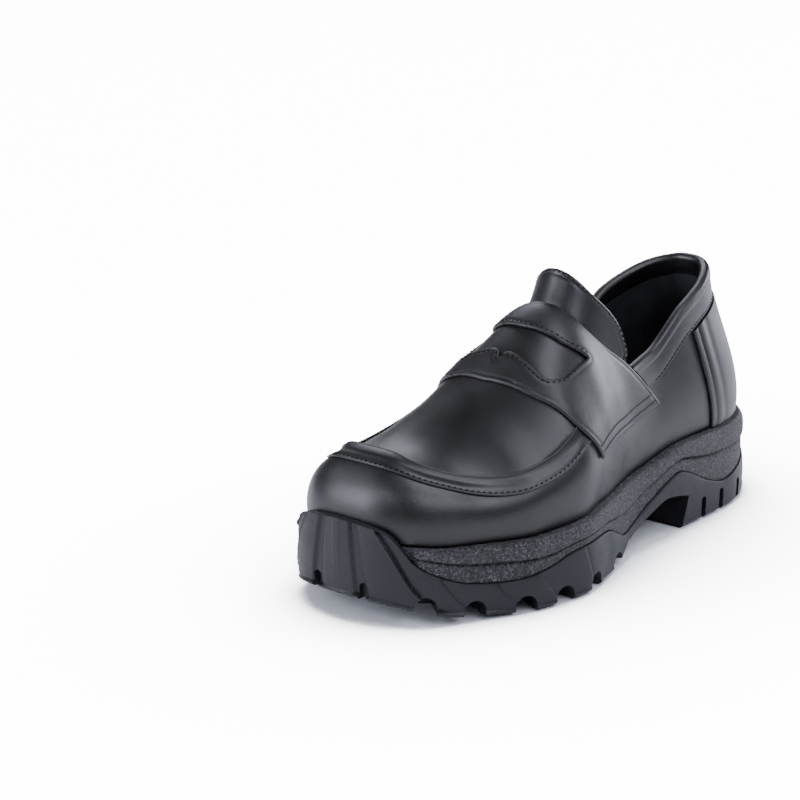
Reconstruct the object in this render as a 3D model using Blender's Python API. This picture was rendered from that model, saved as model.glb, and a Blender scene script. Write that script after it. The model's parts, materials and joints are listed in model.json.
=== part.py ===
"""A chunky lug sole penny loafer for the left foot, built as the separate pieces of the real shoe.

Metres, +Z up. The shoe stands on its sole with the toe towards -Y and the outer side of the foot towards +X,
and the origin is on the floor under the middle of the footprint.

A place round the shoe is a turn: 0 at the back of the heel, along the outer side to 1 at the tip of the toe,
and back along the inner side to 2. A station is a share of the sole's length, 0 at the heel and 1 at the toe.
"""

import math
from collections import namedtuple

import bmesh
import bpy
from mathutils import Vector
from mathutils.bvhtree import BVHTree

MM = 0.001

# The sole
SOLE_LENGTH = 290 * MM
BALL_WIDTH = 115 * MM
FOREFOOT_HEIGHT = 35.5 * MM
HEEL_HEIGHT = 43.5 * MM
TOE_SPRING = 12 * MM
HEEL_BEVEL = 6 * MM
RIM_WALL = 4 * MM
RIM_DEPTH = 1.2 * MM
WALL_ROUNDING = 3 * MM
MIDSOLE_STEP = 1.2 * MM
MIDSOLE_GROOVE = 1.8 * MM
NOTCH_WIDTH = 11.5 * MM
NOTCH_DEPTH = 8.5 * MM
NOTCH_REACH = 26 * MM
TOE_NOTCH_WIDTH = 5 * MM
HEEL_SLOT_WIDTH = 4 * MM
HEEL_SLOT_DEPTH = 12 * MM
TREAD_CHANNEL = 6 * MM
TREAD_DEPTH = 6 * MM
SIDE_GROOVE = 1.4 * MM

# The upper
UPPER_WALL = 2 * MM
LEDGE = 6 * MM
TOE_WALL_HEIGHT = 20 * MM
COLLAR_HEIGHT = 79 * MM
INNER_LIFT = 2 * MM
INSTEP_RISE = 36 * MM
STRAP_THICKNESS = 2 * MM
TONGUE_THICKNESS = 3 * MM
TONGUE_RISE = 18 * MM
TONGUE_BACK = 9 * MM
COLLAR_BAND_HEIGHT = 14 * MM
COLLAR_BAND_THICKNESS = 1.5 * MM
COLLAR_BAND_INSIDE = 8 * MM
COUNTER_THICKNESS = 1.4 * MM
SEAM_HEIGHT = 6 * MM
SEAM_WIDTH = 3 * MM
SEAM_STAND = 2 * MM
INSOLE_THICKNESS = 4 * MM
GAP = 0.3 * MM

# The station where the apron ends and the tongue starts, under the strap
THROAT = 0.526

SIDE_STEPS = 34
WALL_STEPS = 7
APRON_STEPS = 10

# The sole's outline, as shares of BALL_WIDTH out from the line through the middle of the heel, before its two
# ends are rounded.
Outline = namedtuple("Outline", "station outer inner")
OUTLINES = (
    Outline(0.00, 0.316, 0.316),
    Outline(0.20, 0.377, 0.355),
    Outline(0.42, 0.401, 0.326),
    Outline(0.56, 0.498, 0.360),
    Outline(0.66, 0.566, 0.412),
    Outline(0.76, 0.533, 0.470),
    Outline(0.86, 0.428, 0.518),
    Outline(1.00, 0.355, 0.511),
)
HEEL_END, HEEL_SQUARENESS = 0.16, 2.3
TOE_END, TOE_SQUARENESS = 0.225, 2.75

# How the top of the midsole rises from forefoot to heel, and how much of the toe spring it takes.
Tread = namedtuple("Tread", "station rise spring bevel")
TREADS = (
    Tread(0.00, 1.02, 0.00, 1.0),
    Tread(0.07, 1.00, 0.00, 0.2),
    Tread(0.12, 0.98, 0.00, 0.0),
    Tread(0.28, 1.10, 0.00, 0.0),
    Tread(0.40, 0.52, 0.00, 0.0),
    Tread(0.50, 0.14, 0.00, 0.0),
    Tread(0.65, 0.12, 0.00, 0.0),
    Tread(0.78, 0.00, 0.02, 0.0),
    Tread(0.90, 0.00, 0.25, 0.0),
    Tread(1.00, 0.00, 1.00, 0.0),
)
TOP_SPRING_SHARE = 0.4

# The side of the sole, as shares of the height of the midsole's top: the edge of the outsole's side, the floor
# inside it, the underside of the waist, and the groove between the midsole's two bands.
SoleSide = namedtuple("SoleSide", "station edge floor waist groove")
SOLE_SIDES = (
    SoleSide(0.00, 0.53, 0.44, 0.36, 0.76),
    SoleSide(0.05, 0.49, 0.40, 0.36, 0.74),
    SoleSide(0.10, 0.41, 0.34, 0.36, 0.72),
    SoleSide(0.16, 0.35, 0.29, 0.36, 0.72),
    SoleSide(0.22, 0.45, 0.38, 0.36, 0.74),
    SoleSide(0.27, 0.61, 0.54, 0.36, 0.80),
    SoleSide(0.31, 0.70, 0.62, 0.42, 0.84),
    SoleSide(0.35, 0.65, 0.59, 0.47, 0.82),
    SoleSide(0.40, 0.55, 0.50, 0.40, 0.76),
    SoleSide(0.45, 0.42, 0.39, 0.31, 0.70),
    SoleSide(0.49, 0.37, 0.34, 0.26, 0.68),
    SoleSide(0.53, 0.50, 0.44, 0.26, 0.71),
    SoleSide(0.57, 0.64, 0.56, 0.26, 0.76),
    SoleSide(0.63, 0.69, 0.60, 0.26, 0.79),
    SoleSide(0.69, 0.67, 0.56, 0.26, 0.77),
    SoleSide(0.75, 0.55, 0.47, 0.26, 0.72),
    SoleSide(0.82, 0.48, 0.41, 0.26, 0.74),
    SoleSide(0.88, 0.53, 0.43, 0.26, 0.78),
    SoleSide(0.935, 0.69, 0.46, 0.26, 0.86),
    SoleSide(0.960, 0.84, 0.48, 0.26, 0.90),
    SoleSide(0.972, 1.02, 0.48, 0.26, 0.92),
    SoleSide(0.982, 1.15, 0.50, 0.26, 0.92),
    SoleSide(1.00, 1.25, 0.52, 0.26, 0.92),
)
WAIST_FRONT, WAIST_BACK = 0.531, 0.301
WAIST_FRONT_SLANT, WAIST_BACK_SLANT = 0.047, -0.018

# The notches between the lugs, the slots in the heel and the grooves down the outsole's side, as turns on the
# outer side, which the inner side repeats. A groove runs from the outsole's edge at top down to low.
NOTCH_TURNS = (0.520, 0.583, 0.640, 0.698, 0.768, 0.850)
TOE_NOTCH_TURNS = (0.965,)
HEEL_SLOT_TURNS = (0.322, 0.276, 0.215)
Groove = namedtuple("Groove", "top low")
GROOVES = (Groove(0.985, 0.972), Groove(0.942, 0.858))

# The upper's edge is the raised seam round the apron in front and the top line behind. outer and inner are its
# insets from the sole's outline, as shares of half BALL_WIDTH. rise is 0 at the toe's wall height and 1 at the
# collar's height, lift is a share of INNER_LIFT, and crown is a share of INSTEP_RISE. The wall below the edge
# leaves the sole along its foot and meets the edge along its shoulder, both as shares of the wall's height.
Form = namedtuple("Form", "station outer inner rise lift crown foot_out foot_up shoulder_out shoulder_drop")
FORMS = (
    Form(0.00, 0.370, 0.370, 1.00, 0.0, 0.00, 0.05, 0.34, 0.03, 0.36),
    Form(0.10, 0.335, 0.330, 0.94, 0.1, 0.24, 0.06, 0.34, 0.04, 0.34),
    Form(0.22, 0.278, 0.265, 0.77, 0.4, 0.54, 0.07, 0.34, 0.05, 0.32),
    Form(0.34, 0.245, 0.245, 0.45, 0.2, 0.81, 0.06, 0.34, 0.08, 0.30),
    Form(0.44, 0.192, 0.200, 0.50, 0.0, 0.98, 0.06, 0.36, 0.12, 0.28),
    Form(0.52, 0.173, 0.173, 0.56, 0.0, 1.01, 0.08, 0.38, 0.16, 0.28),
    Form(0.62, 0.177, 0.190, 0.40, 0.3, 0.92, 0.12, 0.42, 0.24, 0.26),
    Form(0.72, 0.197, 0.200, 0.19, 0.9, 0.66, 0.14, 0.46, 0.30, 0.22),
    Form(0.82, 0.268, 0.268, 0.11, 1.0, 0.40, 0.13, 0.47, 0.38, 0.18),
    Form(0.92, 0.383, 0.383, 0.20, 0.5, 0.15, 0.10, 0.46, 0.42, 0.15),
    Form(1.00, 0.460, 0.460, 0.27, 0.0, 0.00, 0.08, 0.45, 0.43, 0.14),
)
APRON_ROUNDNESS = 2.2

# The saddle strap. place is 0 on the middle line of the instep, 1 at the apron's edge and 2 at the sole, and
# front and back are the stations of the strap's two edges there.
Strap = namedtuple("Strap", "place front back")
STRAPS = (
    Strap(0.00, 0.689, 0.519),
    Strap(0.50, 0.675, 0.497),
    Strap(1.00, 0.632, 0.403),
    Strap(1.49, 0.596, 0.342),
)
STRAP_END = 1.49

# The slot cut in the strap. reach is a share of the slot's half length, and front and back are shares of the
# strap's width, measured from its front edge.
Slot = namedtuple("Slot", "reach front back")
SLOTS = (
    Slot(0.00, 0.215, 0.60),
    Slot(0.06, 0.290, 0.60),
    Slot(0.14, 0.300, 0.60),
    Slot(0.45, 0.250, 0.60),
    Slot(0.75, 0.200, 0.60),
    Slot(0.90, 0.280, 0.60),
    Slot(0.97, 0.420, 0.60),
    Slot(1.00, 0.560, 0.60),
)
SLOT_END = 0.77

# The tongue's free end. reach is the share of its full length that shows behind the strap, and place is as on
# the strap.
Tip = namedtuple("Tip", "place reach")
TIPS = (
    Tip(0.00, 1.00),
    Tip(0.45, 1.00),
    Tip(0.70, 0.92),
    Tip(0.85, 0.70),
    Tip(0.95, 0.30),
)
TONGUE_SIDE = 0.95

# The heel counter, as turns of its front edge. share is 0 at its foot and 1 at its top.
Front = namedtuple("Front", "share turn")
COUNTER_FRONTS = (
    Front(0.0, 0.284),
    Front(0.5, 0.294),
    Front(1.0, 0.302),
)

Material = namedtuple("Material", "colour roughness")
SMOOTH_LEATHER = Material((0.018, 0.018, 0.020, 1), 0.38)
LINING_LEATHER = Material((0.012, 0.012, 0.013, 1), 0.70)
SMOOTH_RUBBER = Material((0.030, 0.030, 0.033, 1), 0.50)
GRAINED_RUBBER = Material((0.045, 0.045, 0.048, 1), 0.75)


def blend_at(rows, column, station):
    """A column of a table at a station, on a curve through its rows that never swings past them."""
    places = [row[0] for row in rows]
    values = [getattr(row, column) for row in rows]
    if station <= places[0]:
        return values[0]
    if station >= places[-1]:
        return values[-1]
    i = max(k for k in range(len(places) - 1) if places[k] <= station)
    gaps = [places[k + 1] - places[k] for k in range(len(places) - 1)]
    slopes = [(values[k + 1] - values[k]) / gaps[k] for k in range(len(gaps))]

    def tangent(k):
        if k in (0, len(places) - 1):
            return slopes[min(k, len(slopes) - 1)]
        before, after = slopes[k - 1], slopes[k]
        if before * after <= 0:
            return 0.0
        return 2 * before * after / (before + after)

    x = (station - places[i]) / gaps[i]
    a, b = tangent(i) * gaps[i], tangent(i + 1) * gaps[i]
    rise = values[i + 1] - values[i]
    return values[i] + x * (a + x * (3 * rise - 2 * a - b + x * (a + b - 2 * rise)))


def mix(a, b, share):
    return a + (b - a) * share


def smooth_step(low, high, x):
    x = min(1.0, max(0.0, (x - low) / (high - low)))
    return x * x * (3 - 2 * x)


def station_of(turn):
    along = turn % 2
    return (1 - math.cos(math.pi * along)) / 2


def turn_of(station, side):
    """The turn at a station on the outer side, 1, or the inner side, -1."""
    along = math.acos(1 - 2 * station) / math.pi
    return along if side > 0 else 2 - along


def y_of(station):
    return SOLE_LENGTH * (0.5 - station)


def rounded_ends(station):
    heel = max(0.0, 1 - station / HEEL_END)
    toe = max(0.0, 1 - (1 - station) / TOE_END)
    at_heel = max(0.0, 1 - heel**HEEL_SQUARENESS) ** (1 / HEEL_SQUARENESS)
    at_toe = max(0.0, 1 - toe**TOE_SQUARENESS) ** (1 / TOE_SQUARENESS)
    return at_heel * at_toe


def half_width(station, side):
    """From the middle line to the outline on the outer side, 1, or the inner side, -1, before the ends round it."""
    return BALL_WIDTH * blend_at(OUTLINES, "outer" if side > 0 else "inner", station)


def outline_x(turn):
    station = station_of(turn)
    outer, inner = half_width(station, 1), half_width(station, -1)
    side = 1 if turn % 2 <= 1 else -1
    return (outer - inner) / 2 + side * (outer + inner) / 2 * rounded_ends(station)


def footprint_middle():
    """The middle of the outline's width, which the origin stands under."""
    across = [outline_x(k / 100) for k in range(200)]
    return (max(across) + min(across)) / 2


MIDDLE_X = footprint_middle()


def outline(turn):
    return Vector((outline_x(turn) - MIDDLE_X, y_of(station_of(turn)), 0))


def outward(turn):
    """The outline's outward direction, level with the floor."""
    step = 0.01
    run = outline(turn + step) - outline(turn - step)
    return Vector((-run.y, run.x, 0)).normalized()


def at(turn, offset, height):
    """A point above the floor, offset outwards from the sole's outline."""
    place = outline(turn) + outward(turn) * offset
    return Vector((place.x, place.y, height))


def bottom_height(station):
    spring = TOE_SPRING * blend_at(TREADS, "spring", station)
    return spring + HEEL_BEVEL * blend_at(TREADS, "bevel", station)


def feather_height(station):
    """The top of the midsole, where the upper starts."""
    rise = blend_at(TREADS, "rise", station)
    spring = TOP_SPRING_SHARE * TOE_SPRING * blend_at(TREADS, "spring", station)
    return mix(FOREFOOT_HEIGHT, HEEL_HEIGHT, rise) + spring


def side_height(column, station):
    return blend_at(SOLE_SIDES, column, station) * feather_height(station)


def recess_floor(station):
    return min(side_height("floor", station), side_height("edge", station) - RIM_DEPTH)


def edge_inset(turn):
    station = station_of(turn)
    column = "outer" if turn % 2 <= 1 else "inner"
    return blend_at(FORMS, column, station) * BALL_WIDTH / 2


def edge_height(turn):
    station = station_of(turn)
    wall = mix(TOE_WALL_HEIGHT, COLLAR_HEIGHT, blend_at(FORMS, "rise", station))
    lift = INNER_LIFT * blend_at(FORMS, "lift", station) if turn % 2 > 1 else 0
    return feather_height(station) + wall + lift


def edge_point(turn):
    """The upper's edge: the raised seam in front and the top line behind."""
    return at(turn, -edge_inset(turn), edge_height(turn))


def wall_point(turn, share):
    """The outside of the upper's wall, from the midsole at share 0 to its edge at 1."""
    station = station_of(turn)
    foot = feather_height(station) + GAP
    top = edge_height(turn)
    tall = top - foot
    inset = edge_inset(turn)
    foot_out = blend_at(FORMS, "foot_out", station) * tall
    foot_up = blend_at(FORMS, "foot_up", station) * tall
    shoulder_out = blend_at(FORMS, "shoulder_out", station) * tall
    shoulder_drop = blend_at(FORMS, "shoulder_drop", station) * tall
    outs = (-LEDGE, -LEDGE + foot_out, -inset + shoulder_out, -inset)
    ups = (foot, foot + foot_up, top - shoulder_drop, top)
    back = 1 - share
    weights = (back**3, 3 * back**2 * share, 3 * back * share**2, share**3)
    offset = sum(w * out for w, out in zip(weights, outs))
    height = sum(w * up for w, up in zip(weights, ups))
    return at(turn, offset, height)


def apron_point(station, across):
    """The top of the instep, from the outer edge at across 1 to the inner edge at -1."""
    outer = edge_point(turn_of(station, 1))
    inner = edge_point(turn_of(station, -1))
    crown = INSTEP_RISE * blend_at(FORMS, "crown", station)
    arch = crown * (1 - abs(across) ** APRON_ROUNDNESS)
    return outer.lerp(inner, (1 - across) / 2) + Vector((0, 0, arch))


def wall_normal(turn, share):
    """The wall's outward direction, square to it in the upright plane that runs out from the sole."""
    run = wall_point(turn, min(1, share + 0.02)) - wall_point(turn, max(0, share - 0.02))
    out = outward(turn)
    return (out * run.z - Vector((0, 0, run.dot(out)))).normalized()


def share_below_edge(turn, drop):
    """The share of the wall's height that lies a distance below its edge, measured along the wall."""
    share, left = 1.0, drop
    while share > 0.04:
        step = (wall_point(turn, share) - wall_point(turn, share - 0.02)).length
        if step > left:
            return share - 0.02 * left / step
        share, left = share - 0.02, left - step
    return share


def upper_point(station, place):
    """The upper's outside at a station: place 0 is the middle line, 1 the edge and 2 the sole, minus inside."""
    if abs(place) <= 1:
        return apron_point(station, place)
    return wall_point(turn_of(station, 1 if place > 0 else -1), 2 - abs(place))


def surface_normal(point_at, a, b, step=0.01):
    """The outward normal of a surface that runs to the toe with a and to the outer side with b."""
    along = point_at(a + step, b) - point_at(a - step, b)
    across = point_at(a, b + step) - point_at(a, b - step)
    return along.cross(across).normalized()


def shares(count, start=0.0, end=1.0):
    return [start + (end - start) * k / count for k in range(count + 1)]


def side_turns():
    """The turns of the mesh along the outer side, with one of them at the throat."""
    throat = turn_of(THROAT, 1)
    behind = round(SIDE_STEPS * throat)
    return shares(behind, 0, throat)[:-1] + shares(SIDE_STEPS - behind, throat, 1)


def ring_turns():
    outer = side_turns()
    return outer + [2 - turn for turn in reversed(outer[1:-1])]


def make_material(name, finish):
    material = bpy.data.materials.get(name) or bpy.data.materials.new(name)
    material.use_nodes = True
    shader = material.node_tree.nodes["Principled BSDF"]
    shader.inputs["Base Color"].default_value = finish.colour
    shader.inputs["Roughness"].default_value = finish.roughness
    shader.inputs["Metallic"].default_value = 0
    return material


def make_object(name, points, faces, material=None):
    """A mesh object from points and faces, with every face turned outwards."""
    mesh = bpy.data.meshes.new(name)
    mesh.from_pydata([tuple(p) for p in points], [], faces)
    form = bmesh.new()
    form.from_mesh(mesh)
    bmesh.ops.recalc_face_normals(form, faces=form.faces)
    form.to_mesh(mesh)
    form.free()
    mesh.shade_smooth()
    mesh.set_sharp_from_angle(angle=math.radians(35))
    made = bpy.data.objects.new(name, mesh)
    bpy.context.scene.collection.objects.link(made)
    if material:
        mesh.materials.append(material)
    return made


def cap_faces(start):
    """Faces across a ring of the sole, from its outer side to its inner side."""
    count = 2 * SIDE_STEPS
    faces = []
    for k in range(SIDE_STEPS):
        corners = (k, k + 1, (count - k - 1) % count, (count - k) % count)
        faces.append([start + c for c in dict.fromkeys(corners)])
    return faces


def ring_solid(name, levels, material):
    """A closed solid from rings round the sole. Each level gives a ring's offset and height at a turn."""
    turns = ring_turns()
    count = len(turns)
    points, faces = [], []
    for level in levels:
        points += [at(turn, *level(turn)) for turn in turns]
    for k in range(len(levels) - 1):
        low, high = k * count, (k + 1) * count
        for i in range(count):
            j = (i + 1) % count
            faces.append((low + i, low + j, high + j, high + i))
    faces += cap_faces(0) + cap_faces((len(levels) - 1) * count)
    return make_object(name, points, faces, material)


def sheet_solid(name, rows, low, high, material=None):
    """A closed solid between two offsets of a grid, whose rows hold points with their normals."""
    across = len(rows[0])
    points = [p + n * low for row in rows for p, n in row] + [p + n * high for row in rows for p, n in row]
    shift = len(rows) * across
    faces = []
    for r in range(len(rows) - 1):
        for c in range(across - 1):
            quad = (r * across + c, r * across + c + 1, (r + 1) * across + c + 1, (r + 1) * across + c)
            faces.append(quad)
            faces.append([shift + k for k in reversed(quad)])
    rim = [c for c in range(across)]
    rim += [r * across + across - 1 for r in range(1, len(rows))]
    rim += [(len(rows) - 1) * across + c for c in range(across - 2, -1, -1)]
    rim += [r * across for r in range(len(rows) - 2, 0, -1)]
    for a, b in zip(rim, rim[1:] + rim[:1]):
        faces.append((a, b, shift + b, shift + a))
    return make_object(name, points, faces, material)


def hide_cutter(cutter, group):
    """A cutter shapes another piece and is none itself."""
    bpy.context.scene.collection.objects.unlink(cutter)
    group.objects.link(cutter)
    cutter.hide_render = True
    cutter.display_type = "WIRE"


def cutter_group(name):
    group = bpy.data.collections.new(name)
    bpy.context.scene.collection.children.link(group)
    group.hide_render = True
    return group


def cut_with(piece, group):
    cut = piece.modifiers.new("cut " + group.name, "BOOLEAN")
    cut.operation = "DIFFERENCE"
    cut.operand_type = "COLLECTION"
    cut.collection = group
    cut.solver = "EXACT"


def prism(name, outline_points, direction):
    """A closed prism from a flat outline, swept along a direction."""
    count = len(outline_points)
    points = list(outline_points) + [p + direction for p in outline_points]
    faces = [tuple(range(count)), tuple(range(2 * count - 1, count - 1, -1))]
    for k in range(count):
        j = (k + 1) % count
        faces.append((k, j, count + j, count + k))
    return make_object(name, points, faces)


def waist_cutter():
    """The gap under the waist, between the forefoot's back end and the heel's breast."""
    below = Vector((0, 0, -NOTCH_DEPTH))
    stations = shares(6, WAIST_FRONT - WAIST_FRONT_SLANT, WAIST_BACK + WAIST_BACK_SLANT)
    roof = [Vector((-BALL_WIDTH, y_of(s), side_height("waist", s))) for s in stations]
    front = Vector((-BALL_WIDTH, y_of(WAIST_FRONT), 0))
    back = Vector((-BALL_WIDTH, y_of(WAIST_BACK), 0))
    outline_points = [front + below, front, *roof, back, back + below]
    return prism("waist_gap", outline_points, Vector((2 * BALL_WIDTH, 0, 0)))


def notch_cutter(name, turn, width, depth, reach):
    """An arched notch between two lugs, run in from the sole's side."""
    inward = -outward(turn)
    sideways = Vector((-inward.y, inward.x, 0))
    start = at(turn, width, bottom_height(station_of(turn)))
    half = width / 2
    below = Vector((0, 0, -depth))
    arch = []
    for k in range(7):
        angle = math.pi * k / 6
        arch.append(start + sideways * half * math.cos(angle) + Vector((0, 0, depth - half * (1 - math.sin(angle)))))
    outline_points = [start + sideways * half + below, *arch, start - sideways * half + below]
    return prism(name, outline_points, inward * (reach + width))


def channel_cutter(name, side, start, end):
    """A lengthwise channel in the tread that the notches run out into."""
    inset = NOTCH_REACH - TREAD_CHANNEL / 2
    half = TREAD_CHANNEL / 2
    rows = []
    for station in shares(8, start, end):
        turn = turn_of(station, side)
        floor = bottom_height(station)
        rows.append([(at(turn, -inset + edge * half, floor), Vector((0, 0, 1))) for edge in (-1, 1)])
    return sheet_solid(name, rows, -NOTCH_DEPTH, TREAD_DEPTH)


def groove_cutter(name, top_turn, low_turn):
    """A shallow groove down the outsole's side, from its edge to its underside."""
    rows = []
    for share in shares(6):
        turn = mix(low_turn, top_turn, share)
        station = station_of(turn)
        low = bottom_height(station) - SIDE_GROOVE
        height = mix(low, side_height("edge", station) + SIDE_GROOVE, share)
        half = SIDE_GROOVE / SOLE_LENGTH
        rows.append([(at(turn + edge * half, 0, height), outward(turn)) for edge in (-1, 1)])
    return sheet_solid(name, rows, -SIDE_GROOVE, 4 * SIDE_GROOVE)


def make_outsole():
    """The smooth rubber sole, with its toe bumper, lugs and heel."""
    levels = (
        lambda turn: (-WALL_ROUNDING, bottom_height(station_of(turn))),
        lambda turn: (-WALL_ROUNDING / 4, bottom_height(station_of(turn)) + WALL_ROUNDING),
        lambda turn: (0, mix(bottom_height(station_of(turn)), side_height("edge", station_of(turn)), 0.6)),
        lambda turn: (-WALL_ROUNDING / 4, side_height("edge", station_of(turn))),
        lambda turn: (-RIM_WALL, side_height("edge", station_of(turn))),
        lambda turn: (-RIM_WALL, recess_floor(station_of(turn))),
    )
    outsole = ring_solid("outsole", levels, make_material("smooth_rubber", SMOOTH_RUBBER))
    group = cutter_group("tread_cutters")
    hide_cutter(waist_cutter(), group)
    notches = [(turn, NOTCH_WIDTH, NOTCH_DEPTH, NOTCH_REACH) for turn in NOTCH_TURNS]
    notches += [(turn, TOE_NOTCH_WIDTH, NOTCH_DEPTH, TOE_NOTCH_WIDTH) for turn in TOE_NOTCH_TURNS]
    notches += [(turn, HEEL_SLOT_WIDTH, HEEL_SLOT_DEPTH, NOTCH_REACH / 2) for turn in HEEL_SLOT_TURNS]
    for k, (turn, *sizes) in enumerate(notches):
        hide_cutter(notch_cutter(f"notch_outer_{k}", turn, *sizes), group)
        hide_cutter(notch_cutter(f"notch_inner_{k}", 2 - turn, *sizes), group)
    for side, word in ((1, "outer"), (-1, "inner")):
        hide_cutter(channel_cutter(f"channel_{word}", side, WAIST_FRONT - 0.01, 0.86), group)
    for k, groove in enumerate(GROOVES):
        hide_cutter(groove_cutter(f"groove_outer_{k}", groove.top, groove.low), group)
        hide_cutter(groove_cutter(f"groove_inner_{k}", 2 - groove.top, 2 - groove.low), group)
    cut_with(outsole, group)
    return outsole


def midsole_level(height_share, offset):
    """A ring of the midsole, between the outsole's edge and its own top. Behind the toe bumper it draws in."""
    tucked = -RIM_WALL - GAP

    def level(turn):
        station = station_of(turn)
        top = feather_height(station)
        low = min(side_height("edge", station) + GAP, top - 3 * GAP)
        room = top - side_height("edge", station)
        shown = smooth_step(1.2 * RIM_WALL, 2.2 * RIM_WALL, room)
        return mix(tucked, offset, shown), mix(low, top, height_share)

    return level


def make_midsole():
    """The grained rubber midsole: a plain band below and a rounded band above, with a groove between."""
    tucked = -RIM_WALL - GAP

    def groove_share(turn):
        station = station_of(turn)
        low, top = side_height("edge", station), feather_height(station)
        return min(0.8, max(0.3, (side_height("groove", station) - low) / max(top - low, GAP)))

    def groove_level(turn):
        return midsole_level(groove_share(turn), -MIDSOLE_STEP - MIDSOLE_GROOVE)(turn)

    def above_groove(share, offset):
        return lambda turn: midsole_level(mix(groove_share(turn), 1, share), offset)(turn)

    levels = (
        lambda turn: (tucked, recess_floor(station_of(turn)) + GAP),
        midsole_level(0, tucked),
        midsole_level(0, -MIDSOLE_STEP),
        lambda turn: midsole_level(groove_share(turn) * 0.85, -MIDSOLE_STEP)(turn),
        groove_level,
        above_groove(0.12, -MIDSOLE_STEP / 2),
        above_groove(0.5, 0),
        above_groove(0.85, -MIDSOLE_STEP / 2),
        above_groove(1, -MIDSOLE_STEP * 2),
    )
    return ring_solid("midsole", levels, make_material("grained_rubber", GRAINED_RUBBER))


def make_insole():
    """The footbed inside the upper."""
    inset = LEDGE + UPPER_WALL + 3 * GAP
    levels = (
        lambda turn: (-inset, feather_height(station_of(turn)) + GAP),
        lambda turn: (-inset, feather_height(station_of(turn)) + INSOLE_THICKNESS * 0.7),
        lambda turn: (-inset - GAP * 3, feather_height(station_of(turn)) + INSOLE_THICKNESS),
    )
    return ring_solid("insole", levels, make_material("lining_leather", LINING_LEATHER))


def make_upper():
    """The vamp, quarters and apron as one hollow shell, open underneath and at the collar."""
    turns = ring_turns()
    count = len(turns)
    points = [wall_point(turn, share) for share in shares(WALL_STEPS) for turn in turns]
    faces = []
    for k in range(WALL_STEPS):
        for i in range(count):
            j = (i + 1) % count
            faces.append((k * count + i, k * count + j, (k + 1) * count + j, (k + 1) * count + i))
    edge = WALL_STEPS * count
    rows = []
    for k in range(SIDE_STEPS + 1):
        station = station_of(turns[k])
        if station < THROAT - GAP:
            continue
        if k == SIDE_STEPS:
            rows.append([edge + k])
            continue
        row = [edge + k]
        for across in shares(APRON_STEPS, 1, -1)[1:-1]:
            row.append(len(points))
            points.append(apron_point(station, across))
        row.append(edge + count - k)
        rows.append(row)
    for a, b in zip(rows, rows[1:]):
        for c in range(APRON_STEPS):
            if len(b) == 1:
                faces.append((a[c], a[c + 1], b[0]))
            else:
                faces.append((a[c], a[c + 1], b[c + 1], b[c]))
    upper = make_object("upper", points, faces, make_material("smooth_leather", SMOOTH_LEATHER))
    skin = upper.modifiers.new("wall", "SOLIDIFY")
    skin.thickness = UPPER_WALL
    skin.offset = -1
    skin.use_even_offset = True
    return upper


def surface_rows(point_at, stations_at, places, steps):
    """Rows of points with normals over a surface, between two stations that change with the place across."""
    rows = []
    for place in places:
        front, back = stations_at(place)
        row = []
        for share in shares(steps):
            station = mix(front, back, share)
            row.append((point_at(station, place), surface_normal(point_at, station, place)))
        rows.append(row)
    return rows


def strap_stations(place):
    reach = abs(place)
    return blend_at(STRAPS, "front", reach), blend_at(STRAPS, "back", reach)


def slot_stations(place):
    front, back = strap_stations(place)
    reach = min(1.0, abs(place) / SLOT_END)
    return mix(front, back, blend_at(SLOTS, "front", reach)), mix(front, back, blend_at(SLOTS, "back", reach))


def make_strap():
    """The saddle strap over the instep, with its cut slot."""
    places = shares(5, -STRAP_END, -1)[:-1] + shares(20, -1, 1) + shares(5, 1, STRAP_END)[1:]
    rows = surface_rows(upper_point, strap_stations, places, 8)
    material = make_material("smooth_leather", SMOOTH_LEATHER)
    strap = sheet_solid("saddle_strap", rows, 2 * GAP, 2 * GAP + STRAP_THICKNESS, material)
    group = cutter_group("strap_cutters")
    slot_rows = surface_rows(upper_point, slot_stations, shares(20, -SLOT_END, SLOT_END), 3)
    hide_cutter(sheet_solid("slot", slot_rows, -GAP, 3 * STRAP_THICKNESS), group)
    cut_with(strap, group)
    return strap


def loop_solid(name, loops, material):
    """A closed solid swept through closed loops of points, with a flat face at each end."""
    size = len(loops[0])
    points = [p for loop in loops for p in loop]
    faces = []
    for k in range(len(loops) - 1):
        for i in range(size):
            j = (i + 1) % size
            faces.append((k * size + i, k * size + j, (k + 1) * size + j, (k + 1) * size + i))
    faces += [tuple(range(size)), tuple(range(len(points) - size, len(points)))]
    return make_object(name, points, faces, material)


def tongue_tip(place):
    """The station of the tongue's free end."""
    return strap_stations(place)[1] - blend_at(TIPS, "reach", abs(place)) * TONGUE_BACK / SOLE_LENGTH


def tongue_point(station, place):
    """The top of the tongue, which rises from the line of the instep to its free end."""
    behind = max(0.0, strap_stations(place)[1] - station) * SOLE_LENGTH
    return upper_point(station, place) + Vector((0, 0, TONGUE_RISE * behind / TONGUE_BACK))


def make_tongue():
    """The tongue, which carries on from the apron's throat and stands up behind the strap."""
    front = THROAT - 2 * GAP / SOLE_LENGTH
    places = [TONGUE_SIDE * math.sin(math.pi / 2 * share) for share in shares(16, -1, 1)]
    hidden = surface_rows(tongue_point, lambda place: (front, strap_stations(place)[1]), places, 2)
    shown = surface_rows(tongue_point, lambda place: (strap_stations(place)[1], tongue_tip(place)), places, 5)
    rows = [a[:-1] + b for a, b in zip(hidden, shown)]
    return sheet_solid("tongue", rows, -TONGUE_THICKNESS, 0, make_material("smooth_leather", SMOOTH_LEATHER))


def band_turn(place, along):
    """A turn along the collar band, from behind the strap's outer end round the heel to its inner end."""
    back = blend_at(STRAPS, "back", max(1.0, place))
    outer = turn_of(back - 4 * GAP / SOLE_LENGTH, 1)
    return mix(outer, -outer, along)


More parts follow.
